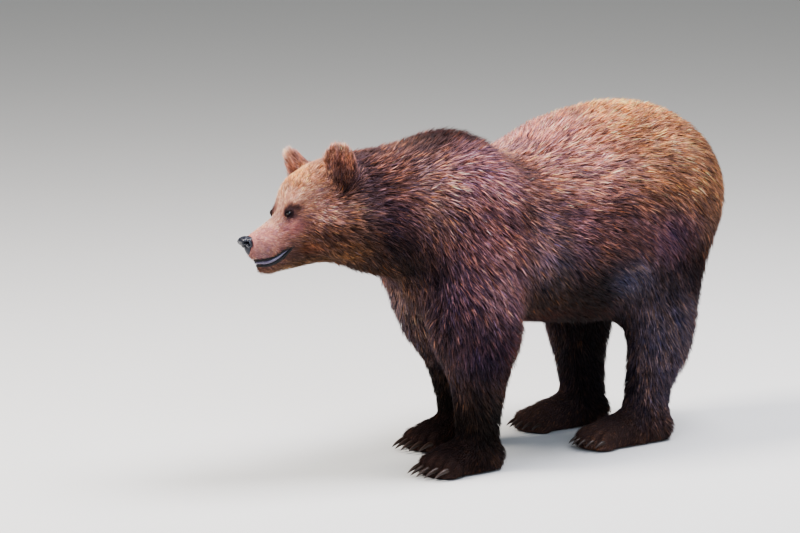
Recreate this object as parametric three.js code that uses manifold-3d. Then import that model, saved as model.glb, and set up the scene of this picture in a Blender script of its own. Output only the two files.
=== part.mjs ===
// Brown bear, life size, standing on level ground with its head turned a little to its right.
// Millimetres, +Z up. The bear faces -Y and its left side is +X. The solids reach to the tips
// of the coat. While it is shaped, the floor point below the shoulder hump is the origin.
import * as THREE from 'three';
import { mergeVertices } from 'three/addons/utils/BufferGeometryUtils.js';
import Module from 'manifold-3d';

const wasm = await Module();
wasm.setup();

// Driving dimensions
const shoulderHeight = 840;
const rumpHeight = 852;
const backHeight = 772;
const chestHalfWidth = 212;
const bellyHalfWidth = 248;
const rumpHalfWidth = 236;
const rumpY = 590;            // middle of the hindquarters
const headPlace = new THREE.Vector3(-60, -345, 712);
const headTurn = -15;         // degrees, negative to its right
const headDip = 13;           // nose down
const headTilt = 8;           // left ear up
const wristLevel = 88;        // where paws part from legs
const gap = 0.4;              // between neighbouring pieces

// Facet sizes of the pieces, across, along and up
const facet = {
  trunk: [56, 74, 54], neck: [44, 44, 44], leg: [38, 42, 56], paw: [22, 26, 23],
  head: [20, 20, 20], ear: [15.5, 15.5, 15.5], nose: [12, 12, 12], tail: [20, 20, 24],
};

// Spine stations, front to back. Top and bottom are heights, shift is the bend to the side.
const stations = [
  { y: -430, top: 746, bottom: 590, half: 88, shift: -78 },
  { y: -385, top: 768, bottom: 556, half: 108, shift: -66 },
  { y: -335, top: 793, bottom: 528, half: 124, shift: -50 },
  { y: -270, top: 807, bottom: 500, half: 138, shift: -30 },
  { y: -200, top: 812, bottom: 480, half: 154, shift: -15 },
  { y: -120, top: 820, bottom: 458, half: 176, shift: -4 },
  { y: -60, top: shoulderHeight - 8, bottom: 430, half: 196, shift: 0 },
  { y: 0, top: shoulderHeight - 2, bottom: 402, half: chestHalfWidth, shift: 0 },
  { y: 55, top: shoulderHeight - 24, bottom: 380, half: 216, shift: 0 },
  { y: 110, top: backHeight + 3, bottom: 360, half: 222, shift: 0 },
  { y: 180, top: backHeight - 3, bottom: 340, half: 232, shift: 0 },
  { y: 270, top: backHeight + 25, bottom: 323, half: 243, shift: 0 },
  { y: 370, top: rumpHeight - 18, bottom: 312, half: bellyHalfWidth, shift: 0 },
  { y: 460, top: rumpHeight - 3, bottom: 306, half: 246, shift: 0 },
  { y: 560, top: rumpHeight - 2, bottom: 312, half: rumpHalfWidth, shift: 0 },
  { y: 660, top: rumpHeight - 22, bottom: 350, half: 205, shift: 0 },
];

// Distances to simple forms, in millimetres and negative inside
function ball([cx, cy, cz], [rx, ry, rz]) {
  return (x, y, z) => {
    const near = Math.hypot((x - cx) / rx, (y - cy) / ry, (z - cz) / rz);
    const slope = Math.hypot((x - cx) / (rx * rx), (y - cy) / (ry * ry), (z - cz) / (rz * rz));
    return slope > 0 ? near * (near - 1) / slope : -Math.min(rx, ry, rz);
  };
}

// A tapering bar with round ends, thinned across X
function limb(from, to, startRadius, endRadius, thin = 1) {
  const [ax, ay, az] = from;
  const [dx, dy, dz] = to.map((value, i) => value - from[i]);
  const length2 = dx * dx + dy * dy + dz * dz;
  return (x, y, z) => {
    const along = ((x - ax) * dx + (y - ay) * dy + (z - az) * dz) / length2;
    const t = THREE.MathUtils.clamp(along, 0, 1);
    const side = (x - ax - dx * t) / thin;
    const radius = startRadius + (endRadius - startRadius) * t;
    return Math.hypot(side, y - ay - dy * t, z - az - dz * t) - radius;
  };
}

// Joins forms with a soft fillet of about this width
function blend(width, ...forms) {
  return (x, y, z) => forms.map((form) => form(x, y, z)).reduce((a, b) => {
    const h = Math.max(width - Math.abs(a - b), 0) / width;
    return Math.min(a, b) - h * h * width / 4;
  });
}

// Sinks a tool's form into another, with a soft rim
function hollow(width, form, tool) {
  return (x, y, z) => {
    const a = form(x, y, z);
    const b = -tool(x, y, z);
    const h = Math.max(width - Math.abs(a - b), 0) / width;
    return Math.max(a, b) + h * h * width / 4;
  };
}

// One side's form and its mirror image
function both(form) {
  return (x, y, z) => form(Math.abs(x), y, z);
}

// A smooth cubic through one column of the stations
function station(y, key) {
  const last = stations.length - 1;
  const at = THREE.MathUtils.clamp(y, stations[0].y, stations[last].y);
  const value = (n) => stations[THREE.MathUtils.clamp(n, 0, last)];
  const slope = (n) => (value(n + 1)[key] - value(n - 1)[key]) / (value(n + 1).y - value(n - 1).y);
  const i = Math.min(last - 1, stations.findLastIndex((s) => s.y <= at));
  const span = value(i + 1).y - value(i).y;
  const t = (at - value(i).y) / span;
  const [t2, t3] = [t * t, t * t * t];
  return (2 * t3 - 3 * t2 + 1) * value(i)[key] + (t3 - 2 * t2 + t) * span * slope(i)
    + (3 * t2 - 2 * t3) * value(i + 1)[key] + (t3 - t2) * span * slope(i + 1);
}

// Barrel of the body and neck: an egg-shaped section, widest below its middle
const roundness = 2.15;       // 2 is an ellipse, more is squarer
const eggTaper = 0.1;

function barrel(x, y, z) {
  const top = station(y, 'top');
  const bottom = station(y, 'bottom');
  const tall = (top - bottom) / 2;
  const level = (z - (top + bottom) / 2) / tall;
  const side = x - station(y, 'shift');
  const half = station(y, 'half') * (1 - eggTaper * THREE.MathUtils.clamp(level, -1, 1));
  const near = (Math.abs(side / half) ** roundness + Math.abs(level) ** roundness) ** (1 / roundness);
  const reach = Math.hypot(side, level * tall);
  const around = near > 0.01 ? reach * (1 - 1 / near) : -tall;
  return Math.max(around, y - stations.at(-1).y, stations[0].y - y);
}

// Legs: where each joint lies, and how far forward the toes reach
const foreLegs = {
  left: { side: 1, shoulder: [128, -20, 560], elbow: [146, -40, 335], wrist: [140, -38, 118], toeY: -215 },
  right: { side: -1, shoulder: [-128, 35, 560], elbow: [-136, 118, 335], wrist: [-132, 158, 118], toeY: -6 },
};
const hindLegs = {
  left: { side: 1, hip: [120, 575, 484], knee: [146, 598, 300], hock: [146, 547, 110], toeY: 322 },
  right: { side: -1, hip: [-120, 575, 484], knee: [-134, 573, 300], hock: [-130, 594, 110], toeY: 378 },
};
const forePaw = {
  halfWidth: 63, height: 74, heelBack: 30, toes: 5, toeRadius: 21, clawLength: 38, clawDrop: 17,
};
const hindPaw = {
  halfWidth: 60, height: 72, heelBack: 36, toes: 5, toeRadius: 20, clawLength: 24, clawDrop: 12,
};

// Shoulder blade, upper arm, thick forearm and shank in one
function foreLeg({ side, shoulder, elbow, wrist }) {
  const [ex, ey, ez] = elbow;
  const blade = ball([shoulder[0] - 8 * side, shoulder[1] - 10, shoulder[2] + 20], [84, 150, 225]);
  const upper = limb([shoulder[0], shoulder[1], shoulder[2] - 70], elbow, 128, 96, 0.84);
  const forearm = ball([ex, ey - 22, ez + 42], [80, 138, 130]);
  const lower = limb(elbow, wrist, 98, 62, 0.86);
  return blend(44, blade, upper, forearm, lower);
}

// Thigh, knee, shank and the muscle behind them in one
function hindLeg({ side, hip, knee, hock }) {
  const thigh = ball([hip[0], hip[1] - 6, hip[2]], [108, 136, 205]);
  const stifle = ball([knee[0], knee[1] - 20, knee[2] + 10], [68, 68, 100]);
  const shank = limb(knee, hock, 86, 66, 0.84);
  const hamstring = limb([hip[0], hip[1] + 98, hip[2] + 6], [knee[0], knee[1] + 34, knee[2] - 70], 98, 58, 0.82);
  return blend(40, thigh, stifle, shank, hamstring);
}

// The toes stand side by side on a shallow arc, the outer ones further back
const toeLong = 1.35;

function toePlace(n, { side, toeY, wrist, hock }, { toes, halfWidth, toeRadius }) {
  const across = (2 * n) / (toes - 1) - 1;
  const middle = (wrist ?? hock)[0] + 4 * side;
  return [middle + across * (halfWidth - toeRadius * 0.7), toeY + toeRadius * toeLong + 16 * across * across];
}

// A paw: pad and wrist in one mass, with its toes in front
function paw(leg, size) {
  const { halfWidth, height, heelBack, toes, toeRadius } = size;
  const [ax, ay] = leg.wrist ?? leg.hock;
  const heel = ay + heelBack;
  const [, toeLine] = toePlace((toes - 1) / 2, leg, size);
  const mass = limb([ax, heel - 8, 40], [ax + 4 * leg.side, toeLine + 30, 26], 46, 37, 1.28);
  const instep = ball(
    [ax, (ay + toeLine) / 2 + 6, height * 0.55],
    [halfWidth * 0.84, (heel - toeLine) * 0.46, height * 0.56],
  );
  const toeForms = Array.from({ length: toes }, (_, n) => {
    const [tx, ty] = toePlace(n, leg, size);
    return ball([tx, ty, 25], [toeRadius * 0.86, toeRadius * toeLong, toeRadius * 1.4]);
  });
  return blend(16, mass, instep, ...toeForms);
}

// Head, in its own frame: x to its left, y back, z up
const headMatrix = new THREE.Matrix4().compose(
  headPlace,
  new THREE.Quaternion().setFromEuler(
    new THREE.Euler(...[headDip, -headTilt, headTurn].map(THREE.MathUtils.degToRad), 'ZXY')),
  new THREE.Vector3(1, 1, 1),
);
const headInverse = headMatrix.clone().invert();

function inHead(form) {
  const m = headInverse.elements;
  return (x, y, z) => form(
    m[0] * x + m[4] * y + m[8] * z + m[12],
    m[1] * x + m[5] * y + m[9] * z + m[13],
    m[2] * x + m[6] * y + m[10] * z + m[14],
  );
}

const noseTip = [0, -244, -60];
const eye = { from: [24, -115, -17], gaze: [0.6, -0.8, 0], radius: 11, proud: 5 };
const orbit = [60, -167, -18];

const headForm = hollow(
  14,
  blend(
    22,
    ball([0, -20, -18], [95, 110, 88]),                     // braincase
    both(ball([21, -104, 8], [29, 36, 32])),                // brows
    both(ball([36, -106, -38], [40, 46, 42])),              // cheekbones
    both(ball([90, 4, 24], [36, 34, 37])),                  // roots of the ears
    both(ball([52, -16, -74], [70, 88, 84])),               // jaw muscle
    limb([0, -98, -62], [0, -216, -78], 65, 43, 1.02),      // muzzle
    limb([0, -80, -112], [0, -210, -123], 50, 29, 1.1),     // lower jaw
  ),
  both(ball(orbit, [15, 22, 13])),
);

// The trunk's own masses, then the body with its legs, and the trunk with the head on
const rumpLevel = 606;
const rump = ball([0, rumpY, rumpLevel], [rumpHalfWidth, 303, rumpHeight - rumpLevel]);
const brisket = ball([14, -86, 470], [122, 104, 100]);
const torso = blend(40, barrel, rump, brisket);
const legForms = [
  ...Object.values(foreLegs).map(foreLeg),
  ...Object.values(hindLegs).map(hindLeg),
];
const pawForms = [
  ...Object.values(foreLegs).map((leg) => paw(leg, forePaw)),
  ...Object.values(hindLegs).map((leg) => paw(leg, hindPaw)),
];
const body = blend(40, torso, ...legForms);
const bodyAndPaws = blend(22, body, ...pawForms);
const whole = blend(40, torso, inHead(headForm));

// A form shut off just inside a box, so that its surface closes
function boxed(form, low, size, cell) {
  const middle = low.map((value, i) => value + ((size[i] - 1) * cell[i]) / 2);
  const inset = low.map((_, i) => ((size[i] - 1) * cell[i]) / 2 - cell[i] * 0.7);
  return (x, y, z) => Math.max(
    form(x, y, z),
    Math.abs(x - middle[0]) - inset[0],
    Math.abs(y - middle[1]) - inset[1],
    Math.abs(z - middle[2]) - inset[2],
  );
}

// Facets of the surface where a form is zero, inside a box: one corner in each cell that the
// surface crosses, drawn onto the surface, and one square round each crossed edge of the grid
function facets(openForm, low, high, cell) {
  const size = low.map((value, i) => Math.ceil((high[i] - value) / cell[i]) + 1);
  const step = [1, size[0], size[0] * size[1]];
  const form = boxed(openForm, low, size, cell);
  const place = (node) => [node % size[0], Math.floor(node / step[1]) % size[1], Math.floor(node / step[2])];
  const values = Float64Array.from({ length: size[0] * size[1] * size[2] }, (_, node) =>
    form(...place(node).map((count, axis) => low[axis] + count * cell[axis])));
  const crossed = (node, axis) => values[node] < 0 !== values[node + step[axis]] < 0;
  const sideways = [[1, 2], [2, 0], [0, 1]];

  const corners = [];
  const cornerOf = new Map();
  const corner = (node) => {
    if (cornerOf.has(node)) return cornerOf.get(node);
    const sum = [0, 0, 0];
    let count = 0;
    sideways.forEach(([b, c], axis) => {
      for (const [moveB, moveC] of [[0, 0], [1, 0], [0, 1], [1, 1]]) {
        const start = node + moveB * step[b] + moveC * step[c];
        if (!crossed(start, axis)) continue;
        sum[axis] += values[start] / (values[start] - values[start + step[axis]]);
        sum[b] += moveB;
        sum[c] += moveC;
        count++;
      }
    });
    const cellAt = place(node);
    const start = sum.map((value, axis) => low[axis] + (cellAt[axis] + value / count) * cell[axis]);
    cornerOf.set(node, corners.length);
    corners.push(new THREE.Vector3(...onto(form, start, Math.min(...cell) * 0.45)));
    return cornerOf.get(node);
  };

  const triangles = [];
  for (let node = 0; node < values.length; node++) {
    const at = place(node);
    sideways.forEach(([b, c], axis) => {
      if (at[axis] + 1 >= size[axis] || at[b] < 1 || at[c] < 1 || !crossed(node, axis)) return;
      const ring = [node, node - step[b], node - step[b] - step[c], node - step[c]].map(corner);
      if (values[node] >= 0) ring.reverse();
      const across = (p, q) => corners[ring[p]].distanceTo(corners[ring[q]]);
      const [p, q, r, s] = across(0, 2) < across(1, 3) ? ring : [...ring.slice(1), ring[0]];
      triangles.push(p, q, r, p, r, s);
    });
  }
  return new THREE.BufferGeometry().setFromPoints(corners).setIndex(triangles);
}

// Moves a point onto the surface, by no more than the given reach
function onto(form, start, reach) {
  const point = [...start];
  for (let round = 0; round < 4; round++) {
    const value = form(...point);
    const slope = [0, 1, 2].map((axis) => {
      const [ahead, back] = [1, -1].map((move) => point.map((at, n) => at + (n === axis ? move : 0)));
      return (form(...ahead) - form(...back)) / 2;
    });
    const steep = Math.hypot(...slope) ** 2;
    if (steep < 1e-6) break;
    slope.forEach((rise, axis) => {
      const moved = point[axis] - (value * rise) / steep;
      point[axis] = THREE.MathUtils.clamp(moved, start[axis] - reach, start[axis] + reach);
    });
  }
  return point;
}

// A solid for joining and cutting
function solid(geometry, matrix = new THREE.Matrix4()) {
  const bare = geometry.clone().applyMatrix4(matrix);
  bare.deleteAttribute('normal');
  bare.deleteAttribute('uv');
  const merged = mergeVertices(bare, 1e-3);
  return new wasm.Manifold(new wasm.Mesh({
    numProp: 3,
    vertProperties: Float32Array.from(merged.attributes.position.array),
    triVerts: Uint32Array.from(merged.index.array),
  }));
}

function shapeOf(form, low, high, cell) {
  return solid(facets(form, low, high, cell));
}

// All that lies behind a plane, set back from it by half the gap
function behind(point, normal, size = 4000) {
  const direction = new THREE.Vector3(...normal).normalize();
  const matrix = new THREE.Matrix4().compose(
    new THREE.Vector3(...point).addScaledVector(direction, -size / 2 - gap / 2),
    new THREE.Quaternion().setFromUnitVectors(new THREE.Vector3(0, 0, 1), direction),
    new THREE.Vector3(1, 1, 1),
  );
  return solid(new THREE.BoxGeometry(size, size, size), matrix);
}

const opposite = (normal) => normal.map((value) => -value);

// Points and directions of the head, in the body's frame
function inHeadFrame([x, y, z]) {
  return new THREE.Vector3(x, y, z).applyMatrix4(headMatrix).toArray();
}

function headDirection([x, y, z]) {
  return new THREE.Vector3(x, y, z).transformDirection(headMatrix).toArray();
}

// A plate of even thickness across the head, its outline given as forward and up
function acrossHead(outline, width) {
  const shape = new THREE.Shape(outline.map(([forward, up]) => new THREE.Vector2(forward, up)));
  const plate = new THREE.ExtrudeGeometry(shape, { depth: width, bevelEnabled: false });
  const basis = new THREE.Matrix4().makeBasis(
    new THREE.Vector3(0, -1, 0), new THREE.Vector3(0, 0, 1), new THREE.Vector3(-1, 0, 0));
  basis.setPosition(width / 2, 0, 0);
  return solid(plate, headMatrix.clone().multiply(basis));
}

// A solid made larger by a share, from its middle
function grown(shape, [x, y, z], share) {
  return shape.translate(-x, -y, -z).scale(share).translate(x, y, z);
}

// A piece that grows from another is cut to fit it, clear of it by about the gap
function seated(piece, host, middle, reach) {
  return piece.subtract(grown(host, middle, 1 + gap / reach));
}

const coats = {
  flank: { color: 0x5b4038, roughness: 0.95, metalness: 0 },
  face: { color: 0x8a6350, roughness: 0.95, metalness: 0 },
  legs: { color: 0x33272a, roughness: 0.95, metalness: 0 },
  nose: { color: 0x1c1a1f, roughness: 0.5, metalness: 0 },
  eye: { color: 0x120c0a, roughness: 0.1, metalness: 0 },
  claw: { color: 0x2a221d, roughness: 0.45, metalness: 0 },
};

const bear = new THREE.Group();
bear.name = 'brown_bear';

function node(name, piece, coat) {
  const { vertProperties, triVerts } = piece.getMesh();
  const geometry = new THREE.BufferGeometry();
  geometry.setAttribute('position', new THREE.Float32BufferAttribute(vertProperties, 3));
  geometry.setIndex([...triVerts]);
  geometry.computeVertexNormals();
  const mesh = new THREE.Mesh(geometry, new THREE.MeshStandardMaterial(coats[coat]));
  mesh.name = name;
  bear.add(mesh);
}

// Where the neck starts and ends: the planes of the two seams
const headSeam = { point: inHeadFrame([0, 46, 80]), normal: headDirection([0, 0.96, -0.28]) };
const neckSeam = { point: [0, -128, shoulderHeight], normal: [0, 0.97, -0.24] };

// Room under a tilted plane that holds one leg: where the plane lies, its slope and its length
const legRooms = {
  fore: { place: [20, 388], slope: -0.5, span: 640 },
  hind: { place: [600, 372], slope: 0.4, span: 480 },
};
const legRoomSize = { width: 340, depth: 700 };

function legRoom({ place, slope, span }, side, extra) {
  const { width, depth } = legRoomSize;
  const box = new THREE.BoxGeometry(width + extra, span + extra, depth + extra);
  const matrix = new THREE.Matrix4()
    .makeTranslation((side * width) / 2, place[0], place[1])
    .multiply(new THREE.Matrix4().makeRotationX(Math.atan(slope)))
    .multiply(new THREE.Matrix4().makeTranslation(0, 0, -depth / 2));
  return solid(box, matrix);
}

// Head, with the mouth a little open: the lips' lines, from the corner of the mouth forward
const headWidth = 300;
const corner = [152, -101];
const upperLip = [[185, -100], [215, -108], [300, -104]];
const lowerLip = [[182, -111], [215, -121], [250, -117], [300, -117]];
const jawBack = [[300, -210], [70, -210], [92, -150]];
const headBlock = shapeOf(whole, [-330, -660, 480], [170, -230, 880], facet.head);
const headWhole = headBlock.intersect(behind(headSeam.point, headSeam.normal));
const mouth = acrossHead([corner, ...upperLip, ...lowerLip.toReversed()], headWidth);
const jawRoom = acrossHead([corner, ...lowerLip, ...jawBack], headWidth);
const jaw = headWhole.intersect(jawRoom);
const jawShift = new THREE.Vector3(...headDirection([0, 0.5, 1])).multiplyScalar(gap).toArray();
const skull = headWhole.subtract(mouth).subtract(jawRoom.translate(...jawShift));

// Nose pad, ears and eyes in the head
const noseForm = blend(
  8,
  ball([0, noseTip[1], noseTip[2]], [29, 22, 20]),
  ball([0, noseTip[1] - 6, noseTip[2] - 20], [13, 14, 16]),
);
const noseBox = [[-50, noseTip[1] - 45, noseTip[2] - 55], [50, noseTip[1] + 45, noseTip[2] + 45]];
const noseShape = solid(facets(noseForm, ...noseBox, facet.nose), headMatrix);

// An ear: an upright oval cup that opens forward and outward
const earHalf = [46, 26, 64];
const ears = {
  left: { place: [114, -8, 60], up: [0.32, 0.08, 0.94], opening: [0.68, -0.73, 0] },
  right: { place: [-117, -20, 53], up: [-0.42, -0.05, 0.9], opening: [0.1, -1, 0] },
};

function earForm(ear) {
  const up = new THREE.Vector3(...ear.up).normalize();
  const back = new THREE.Vector3(...ear.opening).negate();
  back.addScaledVector(up, -back.dot(up)).normalize();
  const across = new THREE.Vector3().crossVectors(back, up);
  const [width, depth, height] = earHalf;
  const bowl = ball([0, -depth, 6], [width * 0.66, depth * 0.78, height * 0.7]);
  const cup = hollow(12, ball([0, 0, 0], earHalf), bowl);
  return (x, y, z) => {
    const offset = [x - ear.place[0], y - ear.place[1], z - ear.place[2]];
    const along = (axis) => axis.x * offset[0] + axis.y * offset[1] + axis.z * offset[2];
    return cup(along(across), along(back), along(up));
  };
}

// An eyeball whose front stands a little proud of the socket's floor
function eyeShape(side, radius) {
  let depth = 0;
  const along = (reach) => eye.from.map((value, axis) => value + eye.gaze[axis] * reach);
  while (whole(...inHeadFrame(along(depth))) < 0) depth += 0.5;
  const [x, y, z] = along(depth + eye.proud - eye.radius);
  const sphere = new THREE.SphereGeometry(radius, 9, 6);
  return solid(sphere.translate(side * x, y, z), headMatrix);
}

// The neck, between the two seams
const neck = shapeOf(whole, [-280, -520, 380], [280, -20, 900], facet.neck)
  .intersect(behind(headSeam.point, opposite(headSeam.normal)))
  .intersect(behind(neckSeam.point, neckSeam.normal));
node('neck', neck, 'flank');

const sides = { left: 1, right: -1 };
const skullMiddle = inHeadFrame([0, -10, -10]);
const eyeGap = 0.8;
const noseRoom = 1.03;
const head = skull
  .subtract(grown(noseShape, inHeadFrame(noseTip), noseRoom))
  .subtract(eyeShape(1, eye.radius + eyeGap))
  .subtract(eyeShape(-1, eye.radius + eyeGap));
node('head', head, 'face');
node('lower_jaw', jaw, 'face');
node('nose', noseShape, 'nose');
for (const [name, side] of Object.entries(sides)) {
  const around = (move) => ears[name].place.map((at, axis) => at + move[axis]);
  const earBox = [around([-84, -86, -94]), around([84, 90, 94])];
  const earShape = solid(facets(earForm(ears[name]), ...earBox, facet.ear), headMatrix);
  node(`ear_${name}`, seated(earShape, headBlock, skullMiddle, 85), 'face');
  node(`eye_${name}`, eyeShape(side, eye.radius), 'eye');
}

// Trunk and tail
let trunk = shapeOf(body, [-360, -400, 160], [360, 960, 940], facet.trunk)
  .intersect(behind(neckSeam.point, opposite(neckSeam.normal)));
for (const side of Object.values(sides)) {
  trunk = trunk.subtract(legRoom(legRooms.fore, side, gap)).subtract(legRoom(legRooms.hind, side, gap));
}
node('trunk', trunk, 'flank');
const tailForm = limb([0, rumpY + 264, 645], [0, rumpY + 292, 572], 36, 24);
const tail = shapeOf(tailForm, [-60, rumpY + 200, 500], [60, rumpY + 340, 700], facet.tail);
node('tail', seated(tail, trunk, [0, rumpY, rumpLevel], 250), 'flank');

// Legs, paws and claws
const claw = { radius: 6.5, sides: 5, rings: 3, rooted: 14, level: 27 };

// A claw that points forward from its root and curves down to its tip
function clawShape([x, y], length, drop) {
  const cone = new THREE.ConeGeometry(claw.radius, length, claw.sides, claw.rings);
  cone.rotateX(Math.PI).translate(0, -length / 2, 0);
  const position = cone.attributes.position;
  for (let n = 0; n < position.count; n++) {
    const share = -position.getY(n) / length;
    position.setZ(n, position.getZ(n) * 1.2 - drop * share * share);
  }
  return solid(cone.translate(x, y + claw.rooted, claw.level));
}

for (const [name, side] of Object.entries(sides)) {
  for (const [pair, legs, size, room] of [
    ['front', foreLegs, forePaw, legRooms.fore],
    ['hind', hindLegs, hindPaw, legRooms.hind],
  ]) {
    const leg = legs[name];
    const [ax, ay] = leg.wrist ?? leg.hock;
    const upright = shapeOf(bodyAndPaws, [ax - 170, ay - 260, 20], [ax + 170, ay + 260, 560], facet.leg)
      .intersect(legRoom(room, side, -gap))
      .intersect(behind(neckSeam.point, opposite(neckSeam.normal)))
      .intersect(behind([0, 0, wristLevel], [0, 0, -1]));
    node(`${pair}_leg_${name}`, upright, 'legs');
    const footBox = [[ax - 110, leg.toeY - 50, -40], [ax + 110, ay + 110, 150]];
    const foot = shapeOf(bodyAndPaws, ...footBox, facet.paw)
      .intersect(behind([0, 0, wristLevel], [0, 0, 1]))
      .intersect(behind([0, 0, -gap / 2], [0, 0, -1]));
    node(`${pair}_paw_${name}`, foot, 'legs');
    for (let n = 0; n < size.toes; n++) {
      const [tx, ty] = toePlace(n, leg, size);
      const root = [tx, ty - size.toeRadius * toeLong];
      const uncut = clawShape(root, size.clawLength + claw.rooted, size.clawDrop);
      const footMiddle = [ax, (ay + leg.toeY) / 2, 30];
      node(`${pair}_claw_${name}_${n + 1}`, seated(uncut, foot, footMiddle, 90), 'claw');
    }
  }
}

// The origin is set at the middle of the footprint, on the ground
const bounds = new THREE.Box3().setFromObject(bear);
const middle = bounds.getCenter(new THREE.Vector3());
bear.position.set(-middle.x, -middle.y, -bounds.min.z);

export default bear;
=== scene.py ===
from math import cos, pi, radians, sin

import bmesh
import bpy
import numpy as np
from mathutils import Matrix, Vector, noise
from mathutils.bvhtree import BVHTree
from mathutils.kdtree import KDTree


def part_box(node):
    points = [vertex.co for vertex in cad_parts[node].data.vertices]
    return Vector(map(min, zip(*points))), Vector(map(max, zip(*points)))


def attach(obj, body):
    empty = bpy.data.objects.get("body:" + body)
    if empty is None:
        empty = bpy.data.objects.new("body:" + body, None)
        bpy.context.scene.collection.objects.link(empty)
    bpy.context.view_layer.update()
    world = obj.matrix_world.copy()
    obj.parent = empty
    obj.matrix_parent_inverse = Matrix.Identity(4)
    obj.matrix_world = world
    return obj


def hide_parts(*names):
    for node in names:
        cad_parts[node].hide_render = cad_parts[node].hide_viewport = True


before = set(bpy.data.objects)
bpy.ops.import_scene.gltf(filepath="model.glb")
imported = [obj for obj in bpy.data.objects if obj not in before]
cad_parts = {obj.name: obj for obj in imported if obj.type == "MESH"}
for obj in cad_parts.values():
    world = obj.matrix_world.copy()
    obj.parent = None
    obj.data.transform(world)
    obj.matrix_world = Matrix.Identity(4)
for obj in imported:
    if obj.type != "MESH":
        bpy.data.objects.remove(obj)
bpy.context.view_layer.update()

chance = np.random.default_rng(11)
scene = bpy.context.scene


def linear(code):
    # A hex colour as linear red, green and blue
    parts = np.array([int(code[n:n + 2], 16) for n in (1, 3, 5)]) / 255
    return np.where(parts < 0.04045, parts / 12.92, ((parts + 0.055) / 1.055) ** 2.4)


def unit(rows):
    return rows / np.maximum(np.linalg.norm(rows, axis=-1, keepdims=True), 1e-9)


def soft(low, high, values):
    # 0 below low, 1 above high, smooth between
    t = np.clip((np.asarray(values, float) - low) / (high - low), 0, 1)
    return t * t * (3 - 2 * t)


# Head: measures in millimetres forward, left and up from the middle of the skull
headSpot = Vector((-0.0595, -0.5027, 0.712))
headTurn = (Matrix.Rotation(radians(-15), 3, "Z") @ Matrix.Rotation(radians(13), 3, "X")
            @ Matrix.Rotation(radians(-8), 3, "Y"))


def headPoint(forward, left, up):
    return headSpot + headTurn @ Vector((left, -forward, up)) / 1000


def headWay(forward, left, up):
    return (headTurn @ Vector((left, -forward, up))).normalized()


def headMeasures(points):
    local = (points - np.array(headSpot)) @ np.array(headTurn) * 1000
    return np.stack([-local[:, 1], local[:, 0], local[:, 2]], 1)


# Camera, lights and floor
camera = dict(azimuth=47, elevation=9, distance=14, lens=252, sensor=36, aim=(0.0005, -0.0577, 0.5),
              right=0.1988, up=-0.0208)


def placeCamera():
    azimuth, elevation = radians(camera["azimuth"]), radians(camera["elevation"])
    back = Vector((sin(azimuth) * cos(elevation), -cos(azimuth) * cos(elevation), sin(elevation)))
    right = Vector((cos(azimuth), sin(azimuth), 0))
    up = back.cross(right)
    spot = Vector(camera["aim"]) - right * camera["right"] + up * camera["up"]
    data = bpy.data.cameras.new("camera")
    data.lens = camera["lens"]
    data.sensor_width = camera["sensor"]
    data.clip_end = 200
    holder = bpy.data.objects.new("camera", data)
    scene.collection.objects.link(holder)
    holder.location = spot + back * camera["distance"]
    holder.rotation_mode = "QUATERNION"
    holder.rotation_quaternion = Matrix((right, up, back)).transposed().to_quaternion()
    scene.camera = holder


lamps = {
    "key": dict(at=(-1.6, -4.0, 5.2), size=2.2, power=600, colour=(1.0, 0.93, 0.86)),
    "side": dict(at=(5.2, -3.4, 3.0), size=4.0, power=290, colour=(0.70, 0.81, 1.0)),
    "top": dict(at=(0.8, 1.4, 4.6), size=2.4, power=350, colour=(0.96, 0.94, 1.0)),
}
studio = dict(lampsAimAt=(0, 0, 0.45), sky=(0.86, 0.88, 0.9, 1), strength=0.34)


def placeLamps():
    for name, lamp in lamps.items():
        data = bpy.data.lights.new(name, "AREA")
        data.size = lamp["size"]
        data.energy = lamp["power"]
        data.color = lamp["colour"]
        holder = bpy.data.objects.new(name, data)
        scene.collection.objects.link(holder)
        holder.location = lamp["at"]
        holder.rotation_mode = "QUATERNION"
        holder.rotation_quaternion = (Vector(studio["lampsAimAt"]) - holder.location).to_track_quat("-Z", "Y")
    scene.world = bpy.data.worlds.new("studio")
    scene.world.use_nodes = True
    fill(scene.world.node_tree.nodes["Background"], {"Color": studio["sky"], "Strength": studio["strength"]})


ground = dict(size=60, colour=(0.66, 0.66, 0.64, 1), roughness=0.9)


def placeFloor():
    bm = bmesh.new()
    bmesh.ops.create_grid(bm, x_segments=1, y_segments=1, size=ground["size"])
    floor = newPiece("floor", bm)
    material, *_, shader = newMaterial("paleFloor")
    fill(shader, {"Base Color": ground["colour"], "Roughness": ground["roughness"]})
    floor.data.materials.append(material)


def asMesh(name, bm):
    # Faces are sorted by their corners, because an extrusion leaves them in another order each run
    bm.verts.index_update()
    bm.faces.sort(key=lambda face: face.verts[0].index * 1e6 + face.verts[1].index)
    mesh = bpy.data.meshes.new(name)
    bm.to_mesh(mesh)
    bm.free()
    return mesh


def newPiece(name, source, material=None):
    # A bmesh or a mesh as an object at the origin
    mesh = asMesh(name, source) if isinstance(source, bmesh.types.BMesh) else source
    mesh.name = name
    piece = bpy.data.objects.new(name, mesh)
    scene.collection.objects.link(piece)
    if material:
        mesh.materials.append(material)
        mesh.shade_smooth()
    return piece


def finished(piece):
    # The piece with its modifiers worked in
    shown = piece.evaluated_get(bpy.context.evaluated_depsgraph_get())
    mesh = bpy.data.meshes.new_from_object(shown)
    bpy.data.objects.remove(piece)
    return mesh


def remeshed(piece, voxel):
    # The piece's overlapping shells as one skin
    remesh = piece.modifiers.new("remesh", "REMESH")
    remesh.mode = "VOXEL"
    remesh.voxel_size = voxel
    return finished(piece)


def newMaterial(name):
    material = bpy.data.materials.new(name)
    material.use_nodes = True
    nodes, links = material.node_tree.nodes, material.node_tree.links
    return material, nodes, links, nodes["Principled BSDF"]


def fill(node, values):
    for name, value in values.items():
        node.inputs[name].default_value = value


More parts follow.
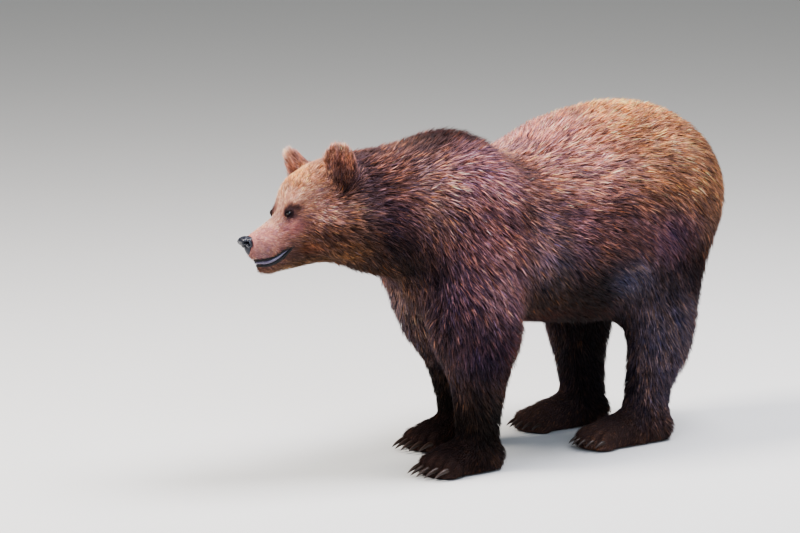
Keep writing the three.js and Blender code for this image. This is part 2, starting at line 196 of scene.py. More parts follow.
def pointsOf(mesh):
    flat = np.empty(len(mesh.vertices) * 3)
    mesh.vertices.foreach_get("co", flat)
    return flat.reshape(-1, 3)


def normalsOf(mesh):
    flat = np.empty(len(mesh.vertices) * 3)
    mesh.vertex_normals.foreach_get("vector", flat)
    return flat.reshape(-1, 3)


def setPoints(mesh, points):
    mesh.vertices.foreach_set("co", points.ravel())
    mesh.update()


def relaxed(mesh, points, weight, rounds):
    # Each point moves towards the mean of its neighbours
    edges = np.empty(len(mesh.edges) * 2, int)
    mesh.edges.foreach_get("vertices", edges)
    one, two = edges.reshape(-1, 2).T
    many = len(points)
    count = np.maximum(np.bincount(one, minlength=many) + np.bincount(two, minlength=many), 1)
    share = (0.5 * weight)[:, None]
    for _ in range(rounds):
        total = np.stack([np.bincount(one, points[two, k], many) + np.bincount(two, points[one, k], many)
                          for k in range(3)], 1)
        points = points + share * (total / count[:, None] - points)
    return points


scene.view_settings.look = "AgX - Medium High Contrast"
placeCamera()
placeLamps()
placeFloor()
print("camera, lights and floor placed")


# Coat zones: where, how far they reach, the way the hair lies, and its length, depth over the
# skin, width and spacing. Those off the middle are mirrored.
def zone(at, reach, lie, length, depth, width=0.0042, spacing=0.0052):
    return dict(at=np.array(at, float), reach=reach, lie=np.array(lie, float), length=length, depth=depth,
                width=width, spacing=spacing)


bodyZones = {
    "hump": zone((0, -0.19, 0.83), 0.13, (0, 1, 0.1), 0.046, 0.024),
    "neckTop": zone((0, -0.36, 0.80), 0.13, (0, 1, -0.1), 0.044, 0.024),
    "neckSide": zone((0.14, -0.38, 0.66), 0.13, (0.1, 0.75, -0.65), 0.042, 0.026),
    "throat": zone((0, -0.46, 0.50), 0.11, (0, 0.9, -0.35), 0.040, 0.020),
    "chest": zone((0, -0.30, 0.42), 0.13, (0, 0.3, -1), 0.042, 0.020),
    "shoulderTop": zone((0.17, -0.14, 0.74), 0.13, (0.1, 0.6, -0.8), 0.044, 0.024),
    "shoulder": zone((0.22, -0.16, 0.60), 0.13, (0, 0.35, -0.95), 0.042, 0.024),
    "upperArm": zone((0.22, -0.16, 0.44), 0.12, (0, 0.45, -0.9), 0.042, 0.022),
    "backFront": zone((0, 0.0, 0.79), 0.13, (0, 1, -0.1), 0.042, 0.022),
    "back": zone((0, 0.2, 0.80), 0.14, (0, 1, 0.05), 0.040, 0.020),
    "flankTop": zone((0.2, 0.05, 0.70), 0.13, (0, 0.8, -0.6), 0.042, 0.022),
    "flank": zone((0.23, 0.08, 0.55), 0.14, (0, 0.72, -0.7), 0.044, 0.024),
    "flankLow": zone((0.2, 0.08, 0.40), 0.13, (-0.1, 0.85, -0.5), 0.046, 0.022),
    "belly": zone((0, 0.15, 0.31), 0.15, (0, 1, -0.1), 0.046, 0.020),
    "rumpTop": zone((0, 0.45, 0.85), 0.15, (0, 1, -0.1), 0.040, 0.020),
    "rumpSide": zone((0.2, 0.4, 0.72), 0.15, (0, 0.85, -0.5), 0.042, 0.022),
    "haunch": zone((0.23, 0.45, 0.52), 0.14, (0, 0.55, -0.85), 0.044, 0.022),
    "rumpBack": zone((0.12, 0.68, 0.68), 0.13, (0.05, 0.35, -0.9), 0.044, 0.016),
    "rear": zone((0, 0.73, 0.6), 0.12, (0, 0.15, -1), 0.046, 0.022),
    "thigh": zone((0.2, 0.45, 0.38), 0.11, (0, 0.3, -0.95), 0.042, 0.020),
    "thighRear": zone((0.14, 0.62, 0.42), 0.11, (0, 0.2, -1), 0.046, 0.020),
}
legZones = {    # measured from the wrist or hock, floor height up
    "front": zone((0, -0.05, 0.26), 0.08, (0, 0.25, -1), 0.034, 0.014, 0.0036, 0.0047),
    "rear": zone((0, 0.09, 0.28), 0.08, (0, 0.75, -0.8), 0.052, 0.020, 0.0038, 0.0050),
    "outside": zone((0.07, 0, 0.22), 0.08, (0, 0.5, -0.9), 0.038, 0.015, 0.0036, 0.0047),
    "inside": zone((-0.07, 0, 0.22), 0.08, (0, 0.4, -0.9), 0.036, 0.015, 0.0038, 0.0052),
    "shank": zone((0, 0.0, 0.13), 0.07, (0, 0.35, -1), 0.028, 0.011, 0.0032, 0.0043),
    "shankRear": zone((0, 0.07, 0.14), 0.06, (0, 0.8, -0.8), 0.040, 0.015, 0.0034, 0.0046),
    "heel": zone((0, 0.03, 0.05), 0.06, (0, 0.5, -0.8), 0.022, 0.008, 0.0028, 0.0040),
    "paw": zone((0, -0.08, 0.07), 0.06, (0, -0.9, -0.35), 0.016, 0.006, 0.0024, 0.0036),
    "toes": zone((0, -0.15, 0.04), 0.05, (0, -0.9, -0.5), 0.011, 0.004, 0.0019, 0.0030),
}
legSpots = {"front_left": (0.140, -0.196), "front_right": (-0.132, 0.0), "hind_left": (0.146, 0.389),
            "hind_right": (-0.130, 0.436)}
headZones = {    # millimetres forward, left and up
    "muzzleTop": zone((215, 0, -30), 30, (-1, 0, 0.2), 0.008, 0.0026, 0.0017, 0.0023),
    "muzzleSide": zone((220, 34, -72), 26, (-0.9, 0.2, -0.3), 0.008, 0.0028, 0.0017, 0.0023),
    "lip": zone((212, 34, -100), 16, (-0.35, 0.1, -1), 0.010, 0.0028, 0.0017, 0.0022),
    "chin": zone((225, 0, -140), 26, (-0.6, 0, -0.8), 0.013, 0.0045, 0.0014, 0.0024),
    "jaw": zone((170, 42, -132), 30, (-0.95, 0, -0.2), 0.012, 0.0050, 0.0015, 0.0027),
    "underJaw": zone((120, 0, -155), 45, (-1, 0, -0.1), 0.020, 0.0100, 0.0020, 0.0034),
    "nasion": zone((155, 0, -2), 26, (-0.9, 0, 0.4), 0.010, 0.0034, 0.0019, 0.0025),
    "brow": zone((128, 38, 12), 26, (-0.8, 0.35, 0.5), 0.012, 0.0044, 0.0020, 0.0026),
    "underEye": zone((150, 50, -50), 26, (-0.9, 0.3, -0.2), 0.010, 0.0036, 0.0019, 0.0024),
    "forehead": zone((95, 0, 58), 40, (-0.85, 0, 0.5), 0.016, 0.0068, 0.0026, 0.0030),
    "crown": zone((25, 0, 84), 42, (-1, 0, 0.1), 0.020, 0.0110, 0.0022, 0.0034),
    "temple": zone((88, 78, 8), 36, (-0.9, 0.3, -0.15), 0.016, 0.0080, 0.0018, 0.0030),
    "cheek": zone((92, 88, -62), 40, (-0.75, 0.3, -0.75), 0.022, 0.0115, 0.0021, 0.0033),
    "jowl": zone((55, 78, -115), 46, (-0.65, 0.2, -0.85), 0.030, 0.0160, 0.0026, 0.0038),
    "nape": zone((-45, 0, 70), 55, (-1, 0, 0), 0.036, 0.0210, 0.0036, 0.0047),
    "ruff": zone((-5, 105, -35), 55, (-0.9, 0.2, -0.45), 0.034, 0.0200, 0.0032, 0.0043),
}


ears = {    # middle, axis towards the tip and way that it opens: forward, left, up
    "left": dict(at=(8, 114, 60), tip=(-0.08, 0.32, 0.94), opening=(0.73, 0.68, 0)),
    "right": dict(at=(20, -117, 53), tip=(0.05, -0.42, 0.9), opening=(1, 0.1, 0)),
}
earZones = {    # millimetres towards the tip and the opening, share of the lie to the tip and the opening
    "root": ((-40, 0), zone((0, 0, 0), 24, (1, 0, 0), 0.018, 0.0075, 0.0018, 0.0030)),
    "rim": ((44, 0), zone((0, 0, 0), 30, (1, 0, 0), 0.023, 0.0120, 0.0015, 0.0024)),
    "bowl": ((-4, 12), zone((0, 0, 0), 24, (0.8, 0.4, 0), 0.020, 0.0080, 0.0017, 0.0030)),
    "back": ((0, -22), zone((0, 0, 0), 26, (1, -0.2, 0), 0.015, 0.0065, 0.0016, 0.0027)),
}


def onEar(ear, tip, opening):
    return np.array(ear["at"]) + tip * np.array(ear["tip"]) + opening * np.array(ear["opening"])


def allZones():
    found = []

    def add(entry, at, lie, reach):
        found.append(dict(entry, at=np.array(at), lie=unit(np.array(lie)), reach=reach))

    for name, entry in bodyZones.items():
        for side in (1, -1) if entry["at"][0] else (1,):
            flip = np.array([side, 1, 1])
            add(entry, entry["at"] * flip, entry["lie"] * flip, entry["reach"])
    for leg, (x, y) in legSpots.items():
        for entry in legZones.values():
            flip = np.array([1 if x > 0 else -1, 1, 1])
            add(entry, entry["at"] * flip + [x, y, 0], entry["lie"] * flip, entry["reach"])
    for entry in headZones.values():
        for side in (1, -1) if entry["at"][1] else (1,):
            flip = np.array([1, side, 1])
            lie = headWay(*(entry["lie"] * flip))
            add(entry, headPoint(*(entry["at"] * flip)), lie, entry["reach"] / 1000)
    for ear in ears.values():
        for (tip, opening), entry in earZones.values():
            toTip, toOpening = entry["lie"][:2]
            lie = headWay(*(toTip * np.array(ear["tip"]) + toOpening * np.array(ear["opening"])))
            add(entry, headPoint(*onEar(ear, tip, opening)), lie, entry["reach"] / 1000)
    return found


zones = allZones()


def coatAt(points, keys):
    # The zones' values at some points, each zone weighted by its nearness
    totals = {key: 0 for key in keys}
    weights = np.full(len(points), 1e-12)
    for entry in zones:
        apart = ((points - entry["at"]) ** 2).sum(1) / entry["reach"] ** 2
        weight = np.exp(-np.minimum(apart, 60)) / entry["reach"] ** 2
        weights = weights + weight
        for key in keys:
            value = entry[key]
            totals[key] = totals[key] + (weight[:, None] * value if key == "lie" else weight * value)
    return [totals[key] / (weights[:, None] if key == "lie" else weights) for key in keys]


# Markings, some of them painted highlights and painted shade: painted one over the other, each an egg-shaped
# patch with a soft edge. Those off the middle are mirrored.
baseColour = linear("#574139")
bodyMarks = [
    ((0, 0.42, 0.84), (0.30, 0.32, 0.16), "#ed9a65", 0.95),    # golden rump and back
    ((0.2, 0.46, 0.74), (0.16, 0.24, 0.13), "#b58063", 0.85),
    ((0.1, 0.68, 0.66), (0.14, 0.12, 0.14), "#ab7654", 0.8),
    ((0, 0.12, 0.79), (0.22, 0.16, 0.09), "#be8077", 0.75),
    ((0, -0.03, 0.80), (0.12, 0.07, 0.05), "#e5aa96", 0.7),    # reddish rim behind the hump
    ((0.2, 0.10, 0.72), (0.10, 0.18, 0.09), "#d99889", 0.7),
    ((0.24, 0.16, 0.58), (0.14, 0.20, 0.10), "#77514f", 0.75),
    ((0.25, 0.00, 0.52), (0.10, 0.10, 0.08), "#4e4b53", 0.7),
    ((0.23, 0.06, 0.60), (0.06, 0.04, 0.11), "#875e67", 0.5),    # dark streak behind the shoulder, painted shade in the crease between shoulder and flank
    ((0.22, -0.05, 0.59), (0.06, 0.045, 0.09), "#b78a8c", 0.7),    # and the light one before it
    ((0.02, -0.21, 0.83), (0.15, 0.12, 0.07), "#200505", 0.9),    # hump
    ((0.12, -0.43, 0.66), (0.10, 0.09, 0.12), "#65464a", 0.9),    # side of the neck
    ((0.06, -0.41, 0.77), (0.10, 0.10, 0.06), "#6b473f", 0.8),
    ((0.12, -0.33, 0.70), (0.09, 0.06, 0.09), "#a3796f", 0.8),    # light patch before the shoulder
    # dark underside of the neck: dark fur and painted shade
    ((0.13, -0.42, 0.55), (0.12, 0.10, 0.08), "#050505", 0.9),
    ((0.2, -0.20, 0.74), (0.12, 0.12, 0.07), "#d09191", 0.85),    # light top of the shoulder, partly a painted highlight
    ((0.22, -0.22, 0.60), (0.12, 0.11, 0.08), "#97686a", 0.8),
    ((0.22, -0.30, 0.46), (0.13, 0.07, 0.12), "#5b414f", 0.85),    # dark front of the upper arm
    ((0.25, -0.18, 0.45), (0.09, 0.08, 0.10), "#9b7178", 0.8),
    ((0.11, -0.19, 0.36), (0.07, 0.10, 0.12), "#b39592", 0.5),    # inside of the upper arm
    ((0.22, 0.20, 0.43), (0.16, 0.26, 0.08), "#080505", 0.9),    # dark lower flank: dark fur and painted shade on the underside
    ((0.24, 0.38, 0.55), (0.10, 0.10, 0.07), "#6b4b5c", 0.7),    # bluish patch of the haunch, a painted highlight of cool sky light
    ((0.23, 0.25, 0.45), (0.07, 0.09, 0.06), "#605a6c", 0.6),    # bluish patch of the lower flank, a painted highlight of cool sky light
    ((0.22, 0.50, 0.44), (0.16, 0.14, 0.08), "#1a0505", 0.9),
    ((0.1, 0.69, 0.46), (0.16, 0.12, 0.12), "#16101b", 0.9),
    # dark belly: dark fur and painted shade beneath the body
    ((0, 0.14, 0.34), (0.24, 0.40, 0.08), "#200805", 0.93),
    ((0.20, 0.02, 0.36), (0.08, 0.08, 0.03), "#4d1005", 0.6),    # rusty edge of the belly
    ((0, -0.47, 0.50), (0.10, 0.07, 0.04), "#5a3a22", 0.8),    # rusty throat
]
legMarks = {    # outward, back and up
    "front": [((0.05, 0.0, 0.31), (0.10, 0.15, 0.08), "#261b34", 0.85),
              ((0.06, 0.07, 0.30), (0.09, 0.06, 0.09), "#4f2805", 0.7),
              ((-0.07, 0.0, 0.28), (0.08, 0.17, 0.16), "#7a6262", 0.85),
              ((0, 0.0, 0.13), (0.15, 0.20, 0.13), "#050505", 0.92),
              ((0, -0.11, 0.05), (0.10, 0.10, 0.06), "#1c1214", 0.85)],
    # outer side of the hind legs lighter and bluish: painted sky light over dark fur
    "hind": [((0.07, 0.0, 0.29), (0.09, 0.15, 0.14), "#62565f", 0.92),
             ((0.06, 0.02, 0.14), (0.10, 0.15, 0.08), "#5c505a", 0.9),
             # inner side of the hind legs: dark fur and painted shadow
             ((-0.07, 0.0, 0.24), (0.08, 0.18, 0.16), "#191215", 0.93),
             ((-0.05, 0.0, 0.10), (0.10, 0.18, 0.09), "#1c1416", 0.9),
             ((0, -0.11, 0.05), (0.10, 0.10, 0.06), "#3b2d2b", 0.85)],
}
headMarks = [    # millimetres forward, left and up
    ((90, 0, 20), (110, 110, 90), "#edab90", 0.95),
    ((100, 0, 66), (74, 74, 44), "#b97c4a", 0.9),    # light forehead
    ((215, 0, -60), (60, 60, 50), "#d18f87", 0.95),    # greyish pink muzzle
    ((205, 0, -26), (70, 26, 16), "#edb08f", 0.85),    # light bridge of the nose
    ((236, 34, -96), (22, 20, 22), "#766062", 0.6),    # darker lip
    ((150, 56, -52), (34, 24, 20), "#c9807e", 0.7),
    ((80, 92, -30), (46, 40, 40), "#cc9081", 0.85),    # cheek
    ((66, 80, -96), (60, 50, 32), "#67483c", 0.85),
    ((30, 60, -140), (60, 60, 32), "#6e4d36", 0.85),
    ((150, 0, -150), (100, 60, 18), "#78583e", 0.75),    # chin and edge of the jaw
    ((122, 52, -112), (26, 20, 15), "#8f573a", 0.7),    # light jaw behind the mouth
    ((-30, 60, 20), (50, 90, 80), "#433038", 0.8),
]
earMarks = [    # millimetres towards the tip and the opening, reach, colour, strength
    (20, 0, 46, "#a76e5b", 0.9),
    (54, 0, 20, "#c89a81", 0.6),
    # dark hollow of the ear: dark inner fur and painted shade
    (-8, 18, 19, "#402016", 0.92),
    # painted shadow at the base of the ear
    (-50, 12, 28, "#200907", 0.9),
    (-34, -34, 30, "#8d6a68", 0.8),
]
paleTip = dict(ear="right", at=(52, 0), reach=0.022, colour="#d9b09c", strength=0.65)    # far ear
eyeMarks = [    # shift from the eye in head measures, reach, colour, strength
    ((0, 0, 0), 24, "#6a4850", 0.75), ((-12, 4, 13), 12, "#2c2028", 0.85), ((-26, 8, 5), 9, "#2c1e24", 0.8),
    ((8, -2, 12), 10, "#33262e", 0.8), ((12, 0, -10), 11, "#6a5464", 0.7),
    ((0, 0, 0), 15.5, "#241b24", 0.92), ((0, 0, 0), 11.5, "#0a080b", 0.95),
]


def painted(points):
    # Colour of skin and coat at some points
    colour = np.tile(baseColour, (len(points), 1))

    def paint(local, at, reach, code, strength):
        apart = (((local - np.array(at)) / np.array(reach)) ** 2).sum(1)
        share = (strength * np.exp(-np.minimum(apart, 40) ** 1.3))[:, None]
        colour[:] = colour * (1 - share) + linear(code) * share

    mirrored = np.abs(points * [1, 0, 0]) + points * [0, 1, 1]
    for mark in bodyMarks:
        paint(mirrored, *mark)
    for leg, (x, y) in legSpots.items():
        for at, reach, code, strength in legMarks[leg.split("_")[0]]:
            paint(points, (x + at[0] * np.sign(x), y + at[1], at[2]), reach, code, strength)
    inHead = headMeasures(points)
    inHead[:, 1] = np.abs(inHead[:, 1])
    for mark in headMarks:
        paint(inHead, *mark)
    for ear in ears.values():
        for tip, opening, reach, code, strength in earMarks:
            paint(points, headPoint(*onEar(ear, tip, opening)), (reach / 1000,) * 3, code, strength)
    tip = headPoint(*onEar(ears[paleTip["ear"]], *paleTip["at"]))
    paint(points, tip, (paleTip["reach"],) * 3, paleTip["colour"], paleTip["strength"])
    for eye in eyes.values():
        front = headMeasures(np.array([eye["middle"]]))[0] + [6, 6 * eye["side"], 0]
        for shift, reach, code, strength in eyeMarks:
            place = headPoint(*(front + np.array(shift) * [1, eye["side"], 1]))
            paint(points, place, (reach * 0.0012, reach * 0.0012, reach * 0.0009), code, strength)
    return colour


def middleOf(node):
    low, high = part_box(node)
    return (low + high) / 2


eyes = {}
for name, side in (("left", 1), ("right", -1)):
    shift = headTurn @ Vector((-0.001 * side, -0.0035, 0.0005))
    eyes[name] = dict(middle=middleOf("eye_" + name) + shift, side=side)

# Skin: one surface through all pieces of flesh, sunk below the coat
flesh = ["head", "lower_jaw", "ear_left", "ear_right", "neck", "trunk", "tail"] + [
    pair + part + side for pair in ("front_", "hind_") for part in ("leg_", "paw_")
    for side in ("left", "right")]
skinSizes = dict(voxel=0.0074, overlap=0.0009, bodyRounds=36, sunk=0.74, mouth=(138, 300, -150, -62))


def mouthFilling():
    # A block that closes the open mouth, so that the lips can be laid on it
    bm = bmesh.new()
    for node in ("head", "lower_jaw"):
        bm.from_mesh(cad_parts[node].data)
    where = headMeasures(np.array([v.co for v in bm.verts]))
    forward, ahead, low, high = skinSizes["mouth"]
    kept = (where[:, 0] > forward) & (where[:, 0] < ahead) & (where[:, 2] > low) & (where[:, 2] < high)
    bmesh.ops.delete(bm, geom=[v for v, keep in zip(bm.verts, kept) if not keep], context="VERTS")
    hull = bmesh.ops.convex_hull(bm, input=bm.verts)
    spare = [item for item in hull["geom_interior"] + hull["geom_unused"]
             if isinstance(item, bmesh.types.BMVert)]
    bmesh.ops.delete(bm, geom=list(set(spare)), context="VERTS")
    bmesh.ops.delete(bm, geom=[f for f in bm.faces if f not in set(hull["geom"])], context="FACES_ONLY")
    bmesh.ops.recalc_face_normals(bm, faces=bm.faces)
    return bm


def bareSkin():
    bm = mouthFilling()
    for node in flesh + ["nose"]:
        part = bmesh.new()
        part.from_mesh(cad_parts[node].data)
        bmesh.ops.remove_doubles(part, verts=part.verts, dist=1e-5)
        part.normal_update()
        for vert in part.verts:
            vert.co += vert.normal * skinSizes["overlap"]
        bm.from_mesh(asMesh(node + "Copy", part))
    return remeshed(newPiece("skin", bm), skinSizes["voxel"])


mesh = bareSkin()
points = pointsOf(mesh)
inHead = headMeasures(points)
headShare = soft(-60, 20, inHead[:, 0]) * soft(-220, -160, inHead[:, 2])
earShare = soft(58, 70, inHead[:, 2]) * soft(70, 90, np.abs(inHead[:, 1])) * headShare
footShare = 1 - soft(0.06, 0.14, points[:, 2])
weight = np.maximum(1 - np.maximum(headShare, footShare), 0)
points = relaxed(mesh, points, weight, skinSizes["bodyRounds"])
points = relaxed(mesh, points, 1 - 0.7 * np.maximum(earShare, footShare), 5)
setPoints(mesh, points)
depth, = coatAt(points, ["depth"])
depth *= skinSizes["sunk"] * soft(0.0, 0.03, points[:, 2])
points = points - normalsOf(mesh) * depth[:, None]
points[:, 2] = np.maximum(points[:, 2], 0.0006)
points = relaxed(mesh, points, np.full(len(points), 0.6), 3)
points[:, 2] = np.maximum(points[:, 2], 0.0006)
setPoints(mesh, points)
print("skin", len(mesh.vertices))


def subdivided(mesh, wanted):
    # Splits the faces whose middles are in the wanted region
    bm = bmesh.new()
    bm.from_mesh(mesh)
    middles = np.array([f.calc_center_median() for f in bm.faces])
    edges = {e for f, yes in zip(bm.faces, wanted(middles)) if yes for e in f.edges}
    bmesh.ops.subdivide_edges(bm, edges=list(edges), cuts=1, use_grid_fill=True, smooth=0.6)
    return asMesh("skin", bm)


def nearFace(middles):
    where = headMeasures(middles)
    return (where[:, 0] > 60) & (where[:, 2] > -190) & (where[:, 2] < 90)


def nearLips(middles):
    where = headMeasures(middles)
    return (where[:, 0] > 130) & (where[:, 2] > -150) & (where[:, 2] < -80)


def nearEyes(middles):
    apart = [np.linalg.norm(middles - np.array(eye["middle"]), axis=1) for eye in eyes.values()]
    return np.minimum(*apart) < 0.034


def nearToes(middles):
    found = np.zeros(len(middles), bool)
    for toes in toeRows.values():
        found |= (np.abs(middles - toes["at"]) < [0.075, 0.045, 0.06]).all(1)
    return found


toeWidths = {"front": 0.0242, "hind": 0.0232}
toeFurrow = dict(deep=0.008, lift=0.0015, width=0.0042, reach=0.032, across=0.062)
toeRows = {}    # the middle claw shows where each paw's toes are
for pair, width in toeWidths.items():
    for side in ("left", "right"):
        low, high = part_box(f"{pair}_claw_{side}_3")
        middle = np.array([(low.x + high.x) / 2, high.y + 0.02, 0.03])
        toeRows[pair + side] = dict(at=middle, width=width)

for region in (lambda m: nearFace(m) | nearToes(m), lambda m: nearLips(m) | nearEyes(m)):
    mesh = subdivided(mesh, region)
    points = pointsOf(mesh)
    setPoints(mesh, relaxed(mesh, points, region(points).astype(float), 2))
print("skin", len(mesh.vertices), "points,", len(mesh.polygons), "faces")


# Sculpting of the head: soft pushes of the skin, in head measures
pushes = [
    # at, reach, push
    ((150, 52, -20), (20, 16, 14), (-3, -4, 0)),     # eye sockets
    ((138, 40, 4), (26, 14, 10), (1.5, 2.5, 1.5)),   # brow
    ((200, 22, -30), (34, 12, 12), (0, -2, -1)),     # bridge of the nose, narrower at its sides
    ((226, 34, -86), (22, 14, 16), (0, 2.5, 0)),     # full upper lip
    ((158, 62, -66), (22, 14, 14), (0, -2, 0)),
    ((256, 0, -98), (18, 40, 22), (5, 0, 0)),        # front of the upper lip
    ((242, 0, -136), (26, 30, 18), (16, 0, -3)),     # chin
    ((30, 94, 92), (20, 20, 34), (6, -5, 0)),        # ears, wider at their front
]


def sculpted(points):
    where = headMeasures(points)
    moved = where.copy()
    side = np.sign(where[:, 1])
    for at, reach, push in pushes:
        local = np.stack([where[:, 0], np.abs(where[:, 1]), where[:, 2]], 1)
        share = np.exp(-np.minimum((((local - at) / np.array(reach)) ** 2).sum(1), 40))
        moved += share[:, None] * np.array(push) * np.stack([np.ones_like(side), side, np.ones_like(side)], 1)
    step = moved - where
    world = np.stack([step[:, 1], -step[:, 0], step[:, 2]], 1) / 1000 @ np.array(headTurn).T
    return points + world


def toed(points, normals):
    # Furrows between the toes
    for toes in toeRows.values():
        apart = points - toes["at"]
        inRow = np.exp(-np.minimum((apart[:, 1] / toeFurrow["reach"]) ** 4, 40))
        inRow *= np.abs(apart[:, 0]) < toeFurrow["across"]
        phase = np.abs(np.mod(apart[:, 0] / toes["width"], 1) - 0.5) * toes["width"]
        sink = toeFurrow["deep"] * np.exp(-(phase / toeFurrow["width"]) ** 2) - toeFurrow["lift"]
        points = points - normals * (sink * inRow * soft(0.004, 0.016, points[:, 2]))[:, None]
    return points


setPoints(mesh, toed(sculpted(pointsOf(mesh)), normalsOf(mesh)))
skinTree = BVHTree.FromPolygons([tuple(p) for p in pointsOf(mesh)],
                                [tuple(p.vertices) for p in mesh.polygons])
skinMesh = mesh


def loftRings(bm, rings, closeStart=False, closeEnd=False):
    # Extrudes a circle of points through rings of places
    first = bmesh.ops.create_circle(bm, segments=len(rings[0]), radius=1)["verts"]
    loop = first
    for vert, place in zip(loop, rings[0]):
        vert.co = place
    edges = [e for e in bm.edges if e.verts[0] in set(loop) and e.verts[1] in set(loop)]
    if closeStart:
        bm.faces.new(loop[::-1])
    for ring in rings[1:]:
        made = bmesh.ops.extrude_edge_only(bm, edges=edges)["geom"]
        joined = {}
        for edge in [g for g in made if isinstance(g, bmesh.types.BMEdge)]:
            one, two = edge.verts
            joined.setdefault(one, []).append(two)
            joined.setdefault(two, []).append(one)
        old = set(loop)
        loop = [next(v for e in vert.link_edges for v in e.verts if v is not vert and v not in old
                     and v in {m for m in made if isinstance(m, bmesh.types.BMVert)}) for vert in loop]
        for vert, place in zip(loop, ring):
            vert.co = place
        edges = [e for e in bm.edges if e.verts[0] in set(loop) and e.verts[1] in set(loop)]
    if closeEnd:
        bm.faces.new(loop)
    return bm


# Materials
def grainGroup():
    # Fine streaks and blotches that lighten and darken a coat, and a height for its bump
    group = bpy.data.node_groups.new("hairGrain", "ShaderNodeTree")
    for name, kind in (("Colour", "NodeSocketColor"), ("Scale", "NodeSocketFloat"),
                       ("Strength", "NodeSocketFloat")):
        group.interface.new_socket(name, in_out="INPUT", socket_type=kind)
    for name, kind in (("Colour", "NodeSocketColor"), ("Height", "NodeSocketFloat")):
        group.interface.new_socket(name, in_out="OUTPUT", socket_type=kind)
    nodes, links = group.nodes, group.links
    start, end = nodes.new("NodeGroupInput"), nodes.new("NodeGroupOutput")
    place = nodes.new("ShaderNodeTexCoord")
    fine = nodes.new("ShaderNodeTexNoise")
    broad = nodes.new("ShaderNodeTexNoise")
    fill(broad, {"Scale": 9, "Detail": 3})
    fill(fine, {"Detail": 4, "Roughness": 0.6})
    both = nodes.new("ShaderNodeMix")
    fill(both, {"Factor": 0.4})
    spread = nodes.new("ShaderNodeMapRange")
    fill(spread, {"From Min": 0.3, "From Max": 0.7, "To Min": 0.5, "To Max": 1.45})
    toned = nodes.new("ShaderNodeMix")
    toned.data_type = "RGBA"
    toned.blend_type = "MULTIPLY"
    links.new(place.outputs["Object"], fine.inputs["Vector"])
    links.new(place.outputs["Object"], broad.inputs["Vector"])
    links.new(start.outputs["Scale"], fine.inputs["Scale"])
    links.new(fine.outputs["Fac"], both.inputs["A"])
    links.new(broad.outputs["Fac"], both.inputs["B"])
    links.new(both.outputs["Result"], spread.inputs["Value"])
    links.new(start.outputs["Strength"], toned.inputs["Factor"])
    links.new(start.outputs["Colour"], toned.inputs["A"])
    links.new(spread.outputs["Result"], toned.inputs["B"])
    links.new(toned.outputs["Result"], end.inputs["Colour"])
    links.new(fine.outputs["Fac"], end.inputs["Height"])
    return group


hairGrain = grainGroup()


def coatedMaterial(name, scale, strength, roughness, bump, sheen):
    material, nodes, links, shader = newMaterial(name)
    tint = nodes.new("ShaderNodeAttribute")
    tint.attribute_name = "coatColour"
    grain = nodes.new("ShaderNodeGroup")
    grain.node_tree = hairGrain
    fill(grain, {"Scale": scale, "Strength": strength})
    links.new(tint.outputs["Color"], grain.inputs["Colour"])
    links.new(grain.outputs["Colour"], shader.inputs["Base Color"])
    fill(shader, {"Roughness": roughness, "Specular IOR Level": 0.1, "Sheen Weight": sheen,
                  "Sheen Roughness": 0.4})
    if bump:
        relief = nodes.new("ShaderNodeBump")
        fill(relief, {"Strength": bump, "Distance": 0.002})
        links.new(grain.outputs["Height"], relief.inputs["Height"])
        links.new(relief.outputs["Normal"], shader.inputs["Normal"])
    return material


def leatherMaterial(name, code, roughness, scale, bump, coat):
    # Bare dark skin with a pebbled grain
    material, nodes, links, shader = newMaterial(name)
    place = nodes.new("ShaderNodeTexCoord")
    pebbles = nodes.new("ShaderNodeTexVoronoi")
    fill(pebbles, {"Scale": scale})
    clouds = nodes.new("ShaderNodeTexNoise")
    fill(clouds, {"Scale": 60})
    ramp = nodes.new("ShaderNodeValToRGB")
    colour = linear(code)
    ramp.color_ramp.elements[0].color = (*colour * 0.6, 1)
    ramp.color_ramp.elements[1].color = (*colour * 1.5, 1)
    relief = nodes.new("ShaderNodeBump")
    fill(relief, {"Strength": bump, "Distance": 0.0006})
    links.new(place.outputs["Object"], pebbles.inputs["Vector"])
    links.new(place.outputs["Object"], clouds.inputs["Vector"])
    links.new(clouds.outputs["Fac"], ramp.inputs["Fac"])
    # painted shade, where a piece gives it, darkens the colour towards black
    paintedShadeNode = nodes.new("ShaderNodeAttribute")
    paintedShadeNode.attribute_name = "paintedShade"
    mixed = nodes.new("ShaderNodeMix")
    mixed.data_type = "RGBA"
    fill(mixed, {"B": (0.001, 0.001, 0.001, 1)})
    links.new(paintedShadeNode.outputs["Fac"], mixed.inputs["Factor"])
    links.new(ramp.outputs["Color"], mixed.inputs["A"])
    links.new(mixed.outputs["Result"], shader.inputs["Base Color"])
    links.new(pebbles.outputs["Distance"], relief.inputs["Height"])
    links.new(relief.outputs["Normal"], shader.inputs["Normal"])
    fill(shader, {"Roughness": roughness, "Coat Weight": coat, "Coat Roughness": 0.25})
    return material


skinMaterial = coatedMaterial("underCoat", scale=240, strength=0.8, roughness=0.85, bump=0.5, sheen=0.0)
hairMaterial = coatedMaterial("bearHair", scale=55, strength=0.7, roughness=0.5, bump=0.0, sheen=0.02)
noseMaterial = leatherMaterial("noseLeather", "#181a26", roughness=0.34, scale=900, bump=0.5, coat=0.25)
# The lower lip's black glossy skin, painted lighter violet-grey as its highlight
lipHighlightMaterial = leatherMaterial("lipLeatherHighlight", "#4c4458", roughness=0.25, scale=500, bump=0.2, coat=0.6)
# Black lip skin, and painted shade inside the mouth
darkLipAndMouthShadeMaterial = leatherMaterial("darkLipAndMouthShade", "#070506", roughness=0.7, scale=500, bump=0.2, coat=0.0)
clawMaterial = leatherMaterial("clawHorn", "#2e2019", roughness=0.42, scale=90, bump=0.2, coat=0.15)


